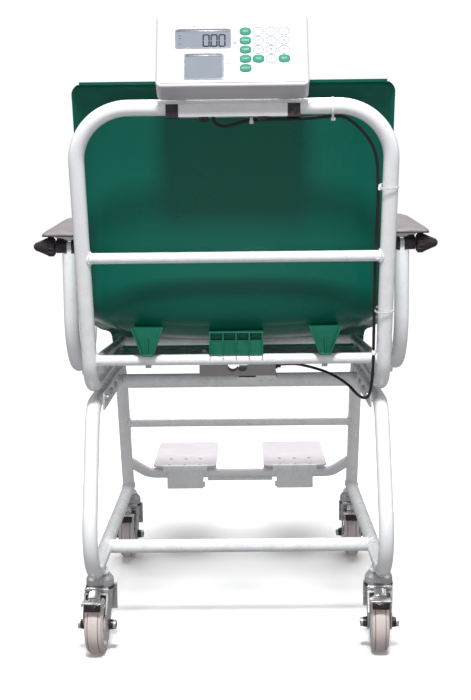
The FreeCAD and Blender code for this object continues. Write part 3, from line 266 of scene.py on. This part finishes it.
class Shape:
    """Gathers geometry for one piece, in the CAD's frame."""

    def __init__(self):
        self.mesh = bmesh.new()

    def skin(self, rings, ends=True):
        """Faces between rings of points that each run round the piece."""
        made = [[self.mesh.verts.new(p) for p in ring] for ring in rings]
        count = len(made[0])
        pairs = list(zip(made, made[1:]))
        if not ends:
            pairs.append((made[-1], made[0]))
        for one, two in pairs:
            for k in range(count):
                n = (k + 1) % count
                self.mesh.faces.new((one[k], one[n], two[n], two[k]))
        if ends:
            self.mesh.faces.new(made[0])
            self.mesh.faces.new(made[-1])

    def lathe(self, profile, place, steps=40, closed=False):
        """Turn (along, radius) points about the local X axis."""
        rings = []
        for along, radius in profile:
            rings.append([place @ Vector((along, radius * math.cos(2 * math.pi * k / steps),
                                          radius * math.sin(2 * math.pi * k / steps)))
                          for k in range(steps)])
        self.skin(rings, ends=not closed)

    def sweep(self, points, radius, closed=False, sides=8, ripple=0.0):
        """A round bead or wire along points."""
        rings = []
        count = len(points)
        side = None
        for i, point in enumerate(points):
            before = points[i - 1] if closed or i else points[0]
            after = points[(i + 1) % count] if closed or i < count - 1 else points[-1]
            way = (after - before).normalized()
            if side is None:
                side = way.orthogonal().normalized()
            else:
                side = (side - way * side.dot(way)).normalized()
            other = way.cross(side)
            size = radius * (1 + ripple * math.sin(i * RIPPLE_STEP))
            rings.append([point + size * (side * math.cos(2 * math.pi * k / sides)
                                          + other * math.sin(2 * math.pi * k / sides))
                          for k in range(sides)])
        self.skin(rings, ends=not closed)

    def bar(self, size, place, bevel=0.0005):
        """A block with rolled edges, centred on place."""
        made = bmesh.ops.create_cube(self.mesh, size=1,
                                     matrix=place @ Matrix.Diagonal((*size, 1)))
        edges = list({e for v in made["verts"] for e in v.link_edges})
        bmesh.ops.bevel(self.mesh, geom=edges, offset=bevel, segments=3, profile=0.5,
                        affect="EDGES")

    def slab(self, outline, depth, place, bevel):
        """An outline in local XY pushed along local Z."""
        low = [self.mesh.verts.new(place @ Vector((x, y, 0))) for x, y in outline]
        high = [self.mesh.verts.new(place @ Vector((x, y, depth))) for x, y in outline]
        count = len(outline)
        self.mesh.faces.new(low)
        top = self.mesh.faces.new(high)
        for k in range(count):
            n = (k + 1) % count
            self.mesh.faces.new((low[k], low[n], high[n], high[k]))
        bmesh.ops.bevel(self.mesh, geom=list(top.edges), offset=bevel, segments=2,
                        profile=0.5, affect="EDGES")

    def letters(self, text, height, place):
        """Thin lettering, centred on place."""
        curve = bpy.data.curves.new("letters", "FONT")
        curve.body = text
        curve.size = height
        curve.align_x = "CENTER"
        curve.align_y = "CENTER"
        curve.extrude = LETTER_THICK / 2
        holder = bpy.data.objects.new("letters", curve)
        scene.collection.objects.link(holder)
        bpy.context.view_layer.update()
        mesh = bpy.data.meshes.new_from_object(holder)
        mesh.transform(place)
        self.mesh.from_mesh(mesh)
        bpy.data.objects.remove(holder)

    def finish(self, name, look, body, angle=35):
        """Make the piece an object that rides on a body; angle is where its edges are sharp."""
        bmesh.ops.recalc_face_normals(self.mesh, faces=self.mesh.faces)
        mesh = bpy.data.meshes.new(name)
        self.mesh.to_mesh(mesh)
        self.mesh.free()
        mesh.shade_smooth()
        mesh.set_sharp_from_angle(angle=math.radians(angle))
        mesh.materials.append(LOOKS[look])
        made = bpy.data.objects.new(name, mesh)
        scene.collection.objects.link(made)
        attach(made, body)
        return made


def shifted(x, y, z):
    return Matrix.Translation((x, y, z))


def turn(degrees, axis):
    return Matrix.Rotation(math.radians(degrees), 4, axis)


UPRIGHT = turn(-90, "Y")  # local X up


def stadium(half_x, half_y, steps=28, power=2.6):
    """A soft oval outline."""
    outline = []
    for k in range(steps):
        a = 2 * math.pi * k / steps
        outline.append((half_x * math.copysign(abs(math.cos(a)) ** (2 / power), math.cos(a)),
                        half_y * math.copysign(abs(math.sin(a)) ** (2 / power), math.sin(a))))
    return outline


# ---------------------------------------------------------------- welds
HALF = 0.245  # side tubes' centre lines from the middle
TUBE = 0.0125  # tube radius
CROSS_TUBE = 0.009  # thinner cross bars' radius
BEAD = 0.0017  # bead radius
BEAD_OUT = 0.0008  # how far a bead's line stands off the bar
BEAD_RIPPLE = 0.16
BEAD_STEPS = 56
FOOT_STEPS = 64
FOOT_GROW = 1.04  # how far the foot beads stand off the leg
BASE_Z = 0.150  # base loop's lower run
BACK_LOW_Y, BACK_LOW_Z = -0.361, 0.468  # back uprights, lower end and push bar
BAR_Y, BAR_Z = -0.498, 0.923
LEG_LOW_Y, LEG_LOW_Z = 0.247, 0.1605  # front legs
LEG_TOP_Y, LEG_TOP_Z = 0.138, 0.436
LEAN = math.atan2(BACK_LOW_Y - BAR_Y, BAR_Z - BACK_LOW_Z)
LEAN_WAY = (-math.sin(LEAN), math.cos(LEAN))
LEG_WAY = Vector((LEG_LOW_Y - LEG_TOP_Y, LEG_LOW_Z - LEG_TOP_Z)).normalized()
LEVEL = (1, 0)  # ways are (y, z)
BACK_CROSS_Z = 0.690
welds = Shape()


def upright_y(z):
    """Y of the uprights' centre line at a height."""
    return BACK_LOW_Y - (z - BACK_LOW_Z) * math.tan(LEAN)


def saddle(y, z, radius, tube_way):
    """Weld beads where a cross bar meets the two side tubes."""
    for sign in (-1, 1):
        points = []
        for k in range(BEAD_STEPS):
            a = 2 * math.pi * k / BEAD_STEPS
            dy = (radius + BEAD_OUT) * math.cos(a)
            dz = (radius + BEAD_OUT) * math.sin(a)
            off = dy * tube_way[1] - dz * tube_way[0]
            inset = math.sqrt(max(TUBE ** 2 - off ** 2, 0.0))
            points.append(Vector((sign * (HALF - inset - 0.0004), y + dy, z + dz)))
        welds.sweep(points, BEAD, closed=True, ripple=BEAD_RIPPLE)


saddle(-0.208, BASE_Z, TUBE, LEVEL)
saddle(0.186, 0.306, CROSS_TUBE, LEG_WAY)
saddle(upright_y(BACK_CROSS_Z), BACK_CROSS_Z, CROSS_TUBE, LEAN_WAY)
saddle(-0.373, 0.517, CROSS_TUBE, LEAN_WAY)
for sign in (-1, 1):
    foot = []
    normal = Vector((-LEG_WAY[1], LEG_WAY[0]))
    for k in range(FOOT_STEPS):
        a = 2 * math.pi * k / FOOT_STEPS
        x = TUBE * math.cos(a)
        out = TUBE * math.sin(a)
        top = BASE_Z + abs(out) + 0.0006
        along = (top - LEG_LOW_Z - out * normal[1]) / LEG_WAY[1]
        foot.append(Vector((sign * HALF + x * FOOT_GROW,
                            LEG_LOW_Y + along * LEG_WAY[0] + out * FOOT_GROW * normal[0], top)))
    welds.sweep(foot, BEAD, closed=True, ripple=BEAD_RIPPLE)
welds.finish("weld_beads", "white_enamel", "frame", angle=80)

# ---------------------------------------------------------------- shell bosses
flanges = Shape()
FLANGE_DEEP = 0.017
FLANGE_MID_Y = -0.3875
BOSS_X = 0.147
RIB_COUNT = 5
RIB_PITCH = 0.02175
for x in (-BOSS_X, BOSS_X):
    for sign in (-1, 1):
        low = Vector((x + sign * 0.0080, FLANGE_MID_Y, 0.5265))
        high = Vector((x + sign * 0.0255, FLANGE_MID_Y, 0.5725))
        way = high - low
        lean = math.degrees(math.atan2(way.x, way.z))
        flanges.bar((0.0028, FLANGE_DEEP, way.length),
                    Matrix.Translation((low + high) / 2) @ turn(lean, "Y"), 0.0007)
    flanges.bar((0.0165, FLANGE_DEEP, 0.003), shifted(x, FLANGE_MID_Y, 0.5272), 0.0007)
    flanges.bar((0.0024, 0.013, 0.026), shifted(x, -0.3865, 0.541), 0.0006)
for k in range(RIB_COUNT):
    across = (k - (RIB_COUNT - 1) / 2) * RIB_PITCH
    flanges.bar((0.0026, 0.0075, 0.0376), shifted(across, -0.3848, 0.5452), 0.0006)
flanges.bar((0.091, 0.0070, 0.0022), shifted(0, -0.3850, 0.5632), 0.0006)
flanges.finish("boss_flanges", "boss_green", "frame")

# ---------------------------------------------------------------- armrests
ARM_PIVOT_Z = 0.704
PAD_X = 0.298
PAD_Y = -0.160
PAD_HALF_LONG = 0.158
PAD_HALF_WIDE = 0.034
PAD_RINGS = 60
WELT_STEPS = 120
WELT_RADIUS = 0.0011
KNOB_X = 0.285
KNOB_Y = -0.290
KNOB_GRIPS = 14
# along the arm: y, underside, top
PAD_STATIONS = [(-0.3175, 0.7215, 0.7255), (-0.30, 0.7205, 0.7280), (-0.20, 0.7210, 0.7352),
                (-0.12, 0.7215, 0.7408), (-0.04, 0.7235, 0.7464), (-0.014, 0.7275, 0.7476),
                (-0.003, 0.7340, 0.7430)]


def station(y):
    """Underside and top of an arm pad at a distance along the arm."""
    for (y0, low0, high0), (y1, low1, high1) in zip(PAD_STATIONS, PAD_STATIONS[1:]):
        if y <= y1:
            share = max(0.0, (y - y0) / (y1 - y0))
            return low0 + share * (low1 - low0), high0 + share * (high1 - high0)
    return PAD_STATIONS[-1][1:]


def arm_pad(name, centre_x, body, node):
    pad = Shape()
    rings = []
    for i in range(PAD_RINGS + 1):
        u = math.sin(math.pi / 2 * (2 * i / PAD_RINGS - 1))
        y = PAD_Y + PAD_HALF_LONG * u
        low, high = station(y)
        end = (1 - abs(u) ** 12) ** (1 / 12) if abs(u) < 1 else 0.0
        width = PAD_HALF_WIDE * max((1 - abs(u) ** 9) ** (1 / 5) if abs(u) < 1 else 0.0, 0.02)
        middle = (low + high) / 2
        half_high = (high - low) / 2 * max(end, 0.05)
        ring = []
        for x, z in stadium(1.0, 1.0, 44, 3.4):
            crown = 0.0014 * (1 - x * x) if z > 0 else 0.0
            ring.append(Vector((centre_x + width * x, y, middle + half_high * z + crown)))
        rings.append(ring)
    pad.skin(rings)
    made = pad.finish(name, "pad_grey", body, angle=70)
    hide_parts(node)


for side, sign in (("left", -1), ("right", 1)):
    arm_pad("soft_pad_" + side, sign * PAD_X, "arm_" + side, "armrest_pad_" + side)
    seam = Shape()
    outline = []
    for k in range(WELT_STEPS):
        a = 2 * math.pi * k / WELT_STEPS
        x = 0.0338 * math.copysign(abs(math.cos(a)) ** (2 / 7), math.cos(a))
        y = PAD_Y + 0.1565 * math.copysign(abs(math.sin(a)) ** (2 / 9), math.sin(a))
        low, high = station(y)
        outline.append(Vector((sign * PAD_X + x, y, low + 0.24 * (high - low))))
    seam.sweep(outline, WELT_RADIUS, closed=True)
    seam.finish("pad_welt_" + side, "seal_black", "arm_" + side, angle=80)
    ribs = Shape()
    knob = shifted(sign * KNOB_X, KNOB_Y, ARM_PIVOT_Z)
    for k in range(KNOB_GRIPS):
        spin = turn(k * 360 / KNOB_GRIPS, "X")
        grip = knob @ spin @ shifted(sign * 0.0315, 0, 0.0156)
        ribs.bar((0.010, 0.0022, 0.0026), grip, 0.0006)
    ribs.finish("knob_grip_" + side, "black_plastic", "knob_" + side)

# ---------------------------------------------------------------- indicator
FACE = shifted(0, -0.545, 0.9507) @ turn(61, "X")
# in the face's own plane: left, low, wide, high
WINDOWS = ((-0.0855, 0.067, 0.083, 0.034), (-0.0715, 0.0116, 0.0577, 0.045))
FACE_TOP = 0.0009
bezels = Shape()
for x, y, wide, high in WINDOWS:
    middle = FACE @ shifted(x + wide / 2, y + high / 2, 0)
    rings = []
    for grow, lift in ((-0.0006, 0.0006), (-0.0006, FACE_TOP + 0.0005),
                       (0.0009, FACE_TOP + 0.0005), (0.0013, FACE_TOP + 0.0001)):
        rings.append([middle @ Vector((px, py, lift)) for px, py in
                      stadium(wide / 2 + grow, high / 2 + grow, 60, 14)])
    bezels.skin(rings, ends=False)
bezels.finish("display_bezels", "bezel_and_painted_shadow", "indicator")
# Dark strips along the top of each display window: a painted shadow of the bezel, not a real part.
window_painted_shadow = Shape()
for x, y, wide, high in WINDOWS:
    window_painted_shadow.bar((wide - 0.0016, 0.0040, 0.0003),
              FACE @ shifted(x + wide / 2, y + high - 0.0020, FACE_TOP), 0.0001)
window_painted_shadow.finish("display_painted_shadow", "bezel_and_painted_shadow", "indicator")

digits = Shape()
DIGIT_HIGH = 0.0205
DIGIT_WIDE = 0.0088
STROKE = 0.0019
DIGIT_LEFTS = (-0.0437, -0.0317, -0.0197)
DIGIT_LOW = 0.0702
INK_FILM = 0.0002
FILM_BEVEL = 0.00009
# the six lit segments of a nought: place across, place up, upright or not
SEGMENTS = ((0.5, 1, 0), (1, 0.75, 1), (1, 0.25, 1), (0.5, 0, 0), (0, 0.25, 1), (0, 0.75, 1))
for left in DIGIT_LEFTS:
    for across, up, upright in SEGMENTS:
        long = (DIGIT_HIGH / 2 if upright else DIGIT_WIDE) - STROKE * 0.5
        spot = FACE @ shifted(left + across * DIGIT_WIDE, DIGIT_LOW + up * DIGIT_HIGH, FACE_TOP)
        size = (STROKE, long, INK_FILM) if upright else (long, STROKE, INK_FILM)
        digits.bar(size, spot, FILM_BEVEL)
digits.bar((0.0016, 0.0016, INK_FILM), FACE @ shifted(-0.0327, DIGIT_LOW, FACE_TOP), FILM_BEVEL)
for y in (0.0745, 0.085, 0.0895):
    digits.bar((0.0035, 0.0007, INK_FILM), FACE @ shifted(-0.079, y, FACE_TOP), FILM_BEVEL)
digits.finish("display_digits", "lcd_ink", "indicator")

ink = Shape()
INK_LIFT = FACE_TOP + 0.0001
ink.letters("kg", 0.0062, FACE @ shifted(0.0030, 0.0765, INK_LIFT))
ink.letters("cm", 0.0056, FACE @ shifted(-0.0080, 0.0385, INK_LIFT))
for text, x in (("STABLE", -0.058), ("NET", -0.042), ("HOLD", -0.028)):
    ink.letters(text, 0.0036, FACE @ shifted(x, 0.1062, INK_LIFT))
caps = Shape()
marks = Shape()
outlines = Shape()
KEY_X, KEY_Y, PITCH_X, PITCH_Y = 0.020, 0.096, 0.0194, 0.0164
KEY_TOP = FACE_TOP + 0.0006
CAP_HIGH = 0.0014
GREEN_KEYS = {(0, 0): "ON", (0, 1): "ZERO", (0, 2): "TARE", (0, 3): "UNIT", (0, 4): "HOLD",
              (1, 3): "CLR", (3, 3): "ENT"}
DIGIT_KEYS = {(1 + k % 3, k // 3): str(k + 1) for k in range(9)}
DIGIT_KEYS[(2, 3)] = "0"
for (column, row), text in GREEN_KEYS.items():
    spot = FACE @ shifted(KEY_X + column * PITCH_X, KEY_Y - row * PITCH_Y, FACE_TOP - 0.0002)
    caps.slab(stadium(0.0089, 0.0068), CAP_HIGH, spot, 0.0004)
    marks.letters(text, 0.0044, spot @ shifted(0, 0, CAP_HIGH + 0.00006))
for (column, row), text in DIGIT_KEYS.items():
    spot = FACE @ shifted(KEY_X + column * PITCH_X, KEY_Y - row * PITCH_Y, 0)
    ring = [spot @ Vector((x, y, FACE_TOP + 0.0001)) for x, y in stadium(0.0080, 0.0072, 48, 2)]
    outlines.sweep(ring, 0.0005, closed=True, sides=6)
    ink.letters(text, 0.0062, spot @ shifted(0, 0, KEY_TOP + 0.00006))
caps.finish("function_keys", "key_green", "indicator", angle=60)
marks.finish("function_key_marks", "key_ink", "indicator")
outlines.finish("digit_key_rings", "ring_ink", "indicator", angle=80)
ink.finish("panel_marks", "panel_ink", "indicator")

# ---------------------------------------------------------------- clips and cable
# on the lead's route
CLIP_PLACES = ((0.028, -0.4865, 0.9035), (0.153, -0.494, 0.9065), (0.2285, -0.4300, 0.690),
               (0.2285, -0.4610, 0.800), (0.2265, -0.3880, 0.530))
clips = Shape()
for place in CLIP_PLACES:
    spot = shifted(*place)
    clips.lathe([(-0.0022, 0.0030), (-0.0022, 0.0042), (0.0022, 0.0042), (0.0022, 0.0030)],
                spot, 20, closed=True)
    clips.bar((0.0062, 0.0048, 0.0050), spot @ shifted(0, -0.004, -0.0035), 0.0006)
clips.finish("cable_clips", "clip_white", "frame", angle=50)

CABLE_THICK = 0.005
LOW_Z = BAR_Z - 0.0185  # the lead under the push bar
RUN_Y = BAR_Y + 0.0125
UNDER_Z = BAR_Z - 0.0153
TUBE_IN = 0.2297  # the lead beside the right upright
INSIDE = 0.2267
CELL_Z = 0.469
CABLE_ROUTE = [
    (-0.030, BAR_Y, BAR_Z - 0.015), (-0.030, BAR_Y, LOW_Z - 0.006),
    (-0.012, BAR_Y + 0.004, LOW_Z - 0.012), (0.012, RUN_Y, LOW_Z - 0.004),
    (0.028, RUN_Y, LOW_Z), (0.112, RUN_Y, LOW_Z), (0.150, BAR_Y + 0.002, UNDER_Z),
    (0.177, BAR_Y, UNDER_Z - 0.001), (TUBE_IN - 0.008, upright_y(0.860), 0.862),
    (TUBE_IN - 0.003, upright_y(0.800), 0.800), (INSIDE, upright_y(0.745), 0.745),
    (INSIDE, upright_y(0.690) + 0.014, 0.690), (INSIDE, upright_y(0.640) + 0.002, 0.640),
    (INSIDE, upright_y(0.600), 0.600), (INSIDE, -0.3895, 0.535), (INSIDE, -0.387, 0.505),
    (INSIDE - 0.002, -0.378, 0.470), (INSIDE - 0.006, -0.366, 0.447),
    (INSIDE - 0.020, -0.348, 0.447), (0.190, -0.322, 0.466), (0.160, -0.255, 0.477),
    (0.118, -0.175, 0.479), (0.100, -0.100, CELL_Z + 0.001), (0.0795, -0.100, CELL_Z)]
curve = bpy.data.curves.new("signal_lead", "CURVE")
curve.dimensions = "3D"
curve.bevel_depth = CABLE_THICK / 2
curve.bevel_resolution = 6
curve.resolution_u = 12
curve.use_fill_caps = True
spline = curve.splines.new("NURBS")
spline.points.add(len(CABLE_ROUTE) - 1)
for point, spot in zip(spline.points, CABLE_ROUTE):
    point.co = (*spot, 1)
spline.order_u = 3
spline.use_endpoint_u = True
lead = bpy.data.objects.new("signal_lead", curve)
curve.materials.append(LOOKS["cable_black"])
scene.collection.objects.link(lead)
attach(lead, "frame")
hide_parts("signal_cable")

# ---------------------------------------------------------------- footplates
PLATE_X = 0.123
PLATE_TOP = 0.1894
SCREW_ROWS = (0.2875, 0.352)
SCREW_PITCH = 0.0335
# (along the screw, radius)
SCREW_HEAD = [(-0.0004, 0.0), (-0.0004, 0.0042), (0.0008, 0.0040), (0.0017, 0.0030),
              (0.0019, 0.0014), (0.0010, 0.0010), (0.0010, 0.0)]
for side, sign in (("left", -1), ("right", 1)):
    body = "foot_" + side
    screws = Shape()
    for y in SCREW_ROWS:
        for step in (-1, 0, 1):
            spot = shifted(sign * PLATE_X + step * SCREW_PITCH, y, PLATE_TOP) @ UPRIGHT
            screws.lathe(SCREW_HEAD, spot, 24)
    screws.finish("footplate_screws_" + side, "bracket_grey", body, angle=30)
    strip = Shape()
    strip.bar((0.098, 0.024, 0.0014), shifted(sign * 0.1215, 0.2865, 0.1900), 0.0006)
    strip.bar((0.098, 0.0014, 0.013), shifted(sign * 0.1215, 0.2757, 0.1840), 0.0006)
    strip.finish("hinge_strip_" + side, "white_enamel", body)

# ---------------------------------------------------------------- casters
# stem x, y and the swivel's turn at rest
CASTERS = {"rear_left": (-0.245, -0.309, -4), "rear_right": (0.245, -0.309, -3),
           "front_left": (-0.245, 0.266, -2), "front_right": (0.245, 0.266, -3)}
TRAIL = 0.034
AXLE_Z = 0.05
# turned profiles: (along the axis, radius)
CAP = [(0.0205, 0.0), (0.0205, 0.0088), (0.0225, 0.0094), (0.0242, 0.0086), (0.0262, 0.0088),
       (0.0300, 0.0076), (0.0330, 0.0052), (0.0341, 0.0024), (0.0343, 0.0)]
SEAL = [(0.1064, 0.0178), (0.1064, 0.0246), (0.1085, 0.0252), (0.1104, 0.0246),
        (0.1104, 0.0178)]
NUT = [(0.1322, 0.0), (0.1322, 0.0096), (0.1332, 0.0108), (0.1362, 0.0108), (0.1372, 0.0096),
       (0.1372, 0.0)]
RIVET = [(0.0, 0.0), (0.0, 0.0032), (0.0014, 0.0028), (0.0022, 0.0014), (0.0023, 0.0)]
TREAD_OFFSET = 0.0088
SPOKES = 8
SPOKE_START = 11
RIVETS = 4
PEDAL_SLOPE = 24
for name, (x, y, angle) in CASTERS.items():
    spot = shifted(x, y, 0) @ turn(angle, "Z")
    fork_body = "caster_" + name
    caps = Shape()
    centre = spot @ shifted(0, -TRAIL, AXLE_Z)
    for side_turn in (0, 180):
        caps.lathe(CAP, centre @ turn(side_turn, "Z"), 28)
    caps.finish("axle_caps_" + name, "cap_black", fork_body, angle=30)
    seal = Shape()
    seal.lathe(SEAL, spot @ UPRIGHT, 48, closed=True)
    seal.finish("swivel_seal_" + name, "seal_black", fork_body, angle=30)
    nuts = Shape()
    nuts.lathe(NUT, spot @ UPRIGHT, 6)
    for k in range(RIVETS):
        rivet = spot @ turn(45 + 360 / RIVETS * k, "Z") @ shifted(0.0195, 0, 0.1255) @ turn(38, "Y")
        nuts.lathe(RIVET, rivet @ UPRIGHT, 14)
    nuts.finish("swivel_nut_" + name, "zinc_steel", fork_body, angle=30)

    wheel_body = "wheel_" + name
    spokes = Shape()
    for side_sign in (-1, 1):
        for k in range(SPOKES):
            spin = centre @ turn(k * 360 / SPOKES + SPOKE_START, "X")
            spokes.bar((0.0052, 0.0024, 0.0185), spin @ shifted(side_sign * 0.0092, 0, 0.0215),
                       0.0006)
        spokes.lathe([(side_sign * 0.0125, 0.0328), (side_sign * 0.0152, 0.0332),
                      (side_sign * 0.0158, 0.0352), (side_sign * 0.0152, 0.0374),
                      (side_sign * 0.0132, 0.0376)], centre, 56, closed=True)
    spokes.finish("hub_web_" + name, "white_plastic", wheel_body, angle=35)
    tread = Shape()
    for at in (-TREAD_OFFSET, TREAD_OFFSET):
        tread.lathe([(at - 0.0007, 0.0480), (at - 0.0006, 0.04885), (at + 0.0006, 0.04885),
                     (at + 0.0007, 0.0480)], centre, 72, closed=True)
    tread.finish("tread_lines_" + name, "tread_dark", wheel_body, angle=35)

    pedal_body = "pedal_" + name
    pedal = Shape()
    pedal.bar((0.036, 0.020, 0.0020), spot @ shifted(0, -0.0715, 0.1013), 0.0008)
    for side_sign in (-1, 1):
        pedal.bar((0.0020, 0.018, 0.0062), spot @ shifted(side_sign * 0.0174, -0.0718, 0.0988),
                  0.0008)
    slope = spot @ shifted(0, -0.0490, 0.1091) @ turn(PEDAL_SLOPE, "X")
    pedal.bar((0.013, 0.017, 0.0022), slope, 0.0008)
    pedal.bar((0.0215, 0.0024, 0.0032), slope @ shifted(0, 0.0105, 0.0004), 0.0008)
    pedal.bar((0.0215, 0.0024, 0.0032), slope @ shifted(0, -0.0105, 0.0004), 0.0008)
    pedal.finish("pedal_lip_" + name, "zinc_steel", pedal_body)
    block = Shape()
    block.bar((0.0285, 0.0100, 0.0132), spot @ shifted(0, -0.0768, 0.0936), 0.0022)
    block.bar((0.0150, 0.0022, 0.0070), spot @ shifted(0, -0.0820, 0.0942), 0.0008)
    block.finish("brake_block_" + name, "cap_black", pedal_body)


# ---------------------------------------------------------------- stage and light
FLOOR_SIDE = 60
FLOOR_COLOUR = (0.96, 0.96, 0.96)
FLOOR_ROUGH = 0.7


def stage_plane(name, side, colour):
    mesh = bpy.data.meshes.new(name)
    edge = side / 2
    mesh.from_pydata([(-edge, -edge, 0), (edge, -edge, 0), (edge, edge, 0), (-edge, edge, 0)],
                     [], [(0, 1, 2, 3)])
    made = bpy.data.objects.new(name, mesh)
    scene.collection.objects.link(made)
    mesh.materials.append(surface(name, colour, FLOOR_ROUGH, grain_depth=0.0, shift=0.01))
    # kept out of bounced light and reflections
    made.visible_diffuse = False
    made.visible_glossy = False


stage_plane("floor", FLOOR_SIDE, FLOOR_COLOUR)


def area_light(name, place, target, side, power):
    data = bpy.data.lights.new(name, "AREA")
    data.shape = "SQUARE"
    data.size = side
    data.energy = power
    made = bpy.data.objects.new(name, data)
    made.location = place
    direction = Vector(target) - Vector(place)
    made.rotation_euler = direction.to_track_quat("-Z", "Y").to_euler()
    scene.collection.objects.link(made)
    return made


# place, target, side, power
area_light("key", (0.0, -2.25, 3.45), (0, -0.45, 0.85), 0.6, 135)
area_light("left_fill", (-2.6, -0.6, 1.3), (-0.2, 0, 0.5), 1.4, 8)
area_light("right_fill", (2.6, -0.6, 1.3), (0.2, 0, 0.5), 1.4, 8)
low_fill = area_light("low_fill", (0, -3.2, 0.30), (0, 0.27, 0.20), 1.2, 22)
low_fill.visible_glossy = False  # lights the object without showing in its gloss
SUN_STRENGTH = 2.7
SUN_SPREAD = 50
SUN_WAY = (0, -0.5, -0.87)
sun_data = bpy.data.lights.new("front_sun", "SUN")
sun_data.energy = SUN_STRENGTH
sun_data.angle = math.radians(SUN_SPREAD)
sun = bpy.data.objects.new("front_sun", sun_data)
sun.rotation_euler = Vector(SUN_WAY).to_track_quat("-Z", "Y").to_euler()
scene.collection.objects.link(sun)
world = bpy.data.worlds.new("world")
scene.world = world
world.use_nodes = True
WORLD = world.node_tree
SEEN_SKY = 1.0  # the sky as the camera sees it
LIT_SKY = 0.28  # and as it lights the object
background = WORLD.nodes["Background"]
background.inputs["Color"].default_value = (1, 1, 1, 1)
rays = WORLD.nodes.new("ShaderNodeLightPath")
strength = WORLD.nodes.new("ShaderNodeMapRange")
strength.inputs["To Min"].default_value = LIT_SKY
strength.inputs["To Max"].default_value = SEEN_SKY
WORLD.links.new(rays.outputs["Is Camera Ray"], strength.inputs["Value"])
WORLD.links.new(strength.outputs["Result"], background.inputs["Strength"])
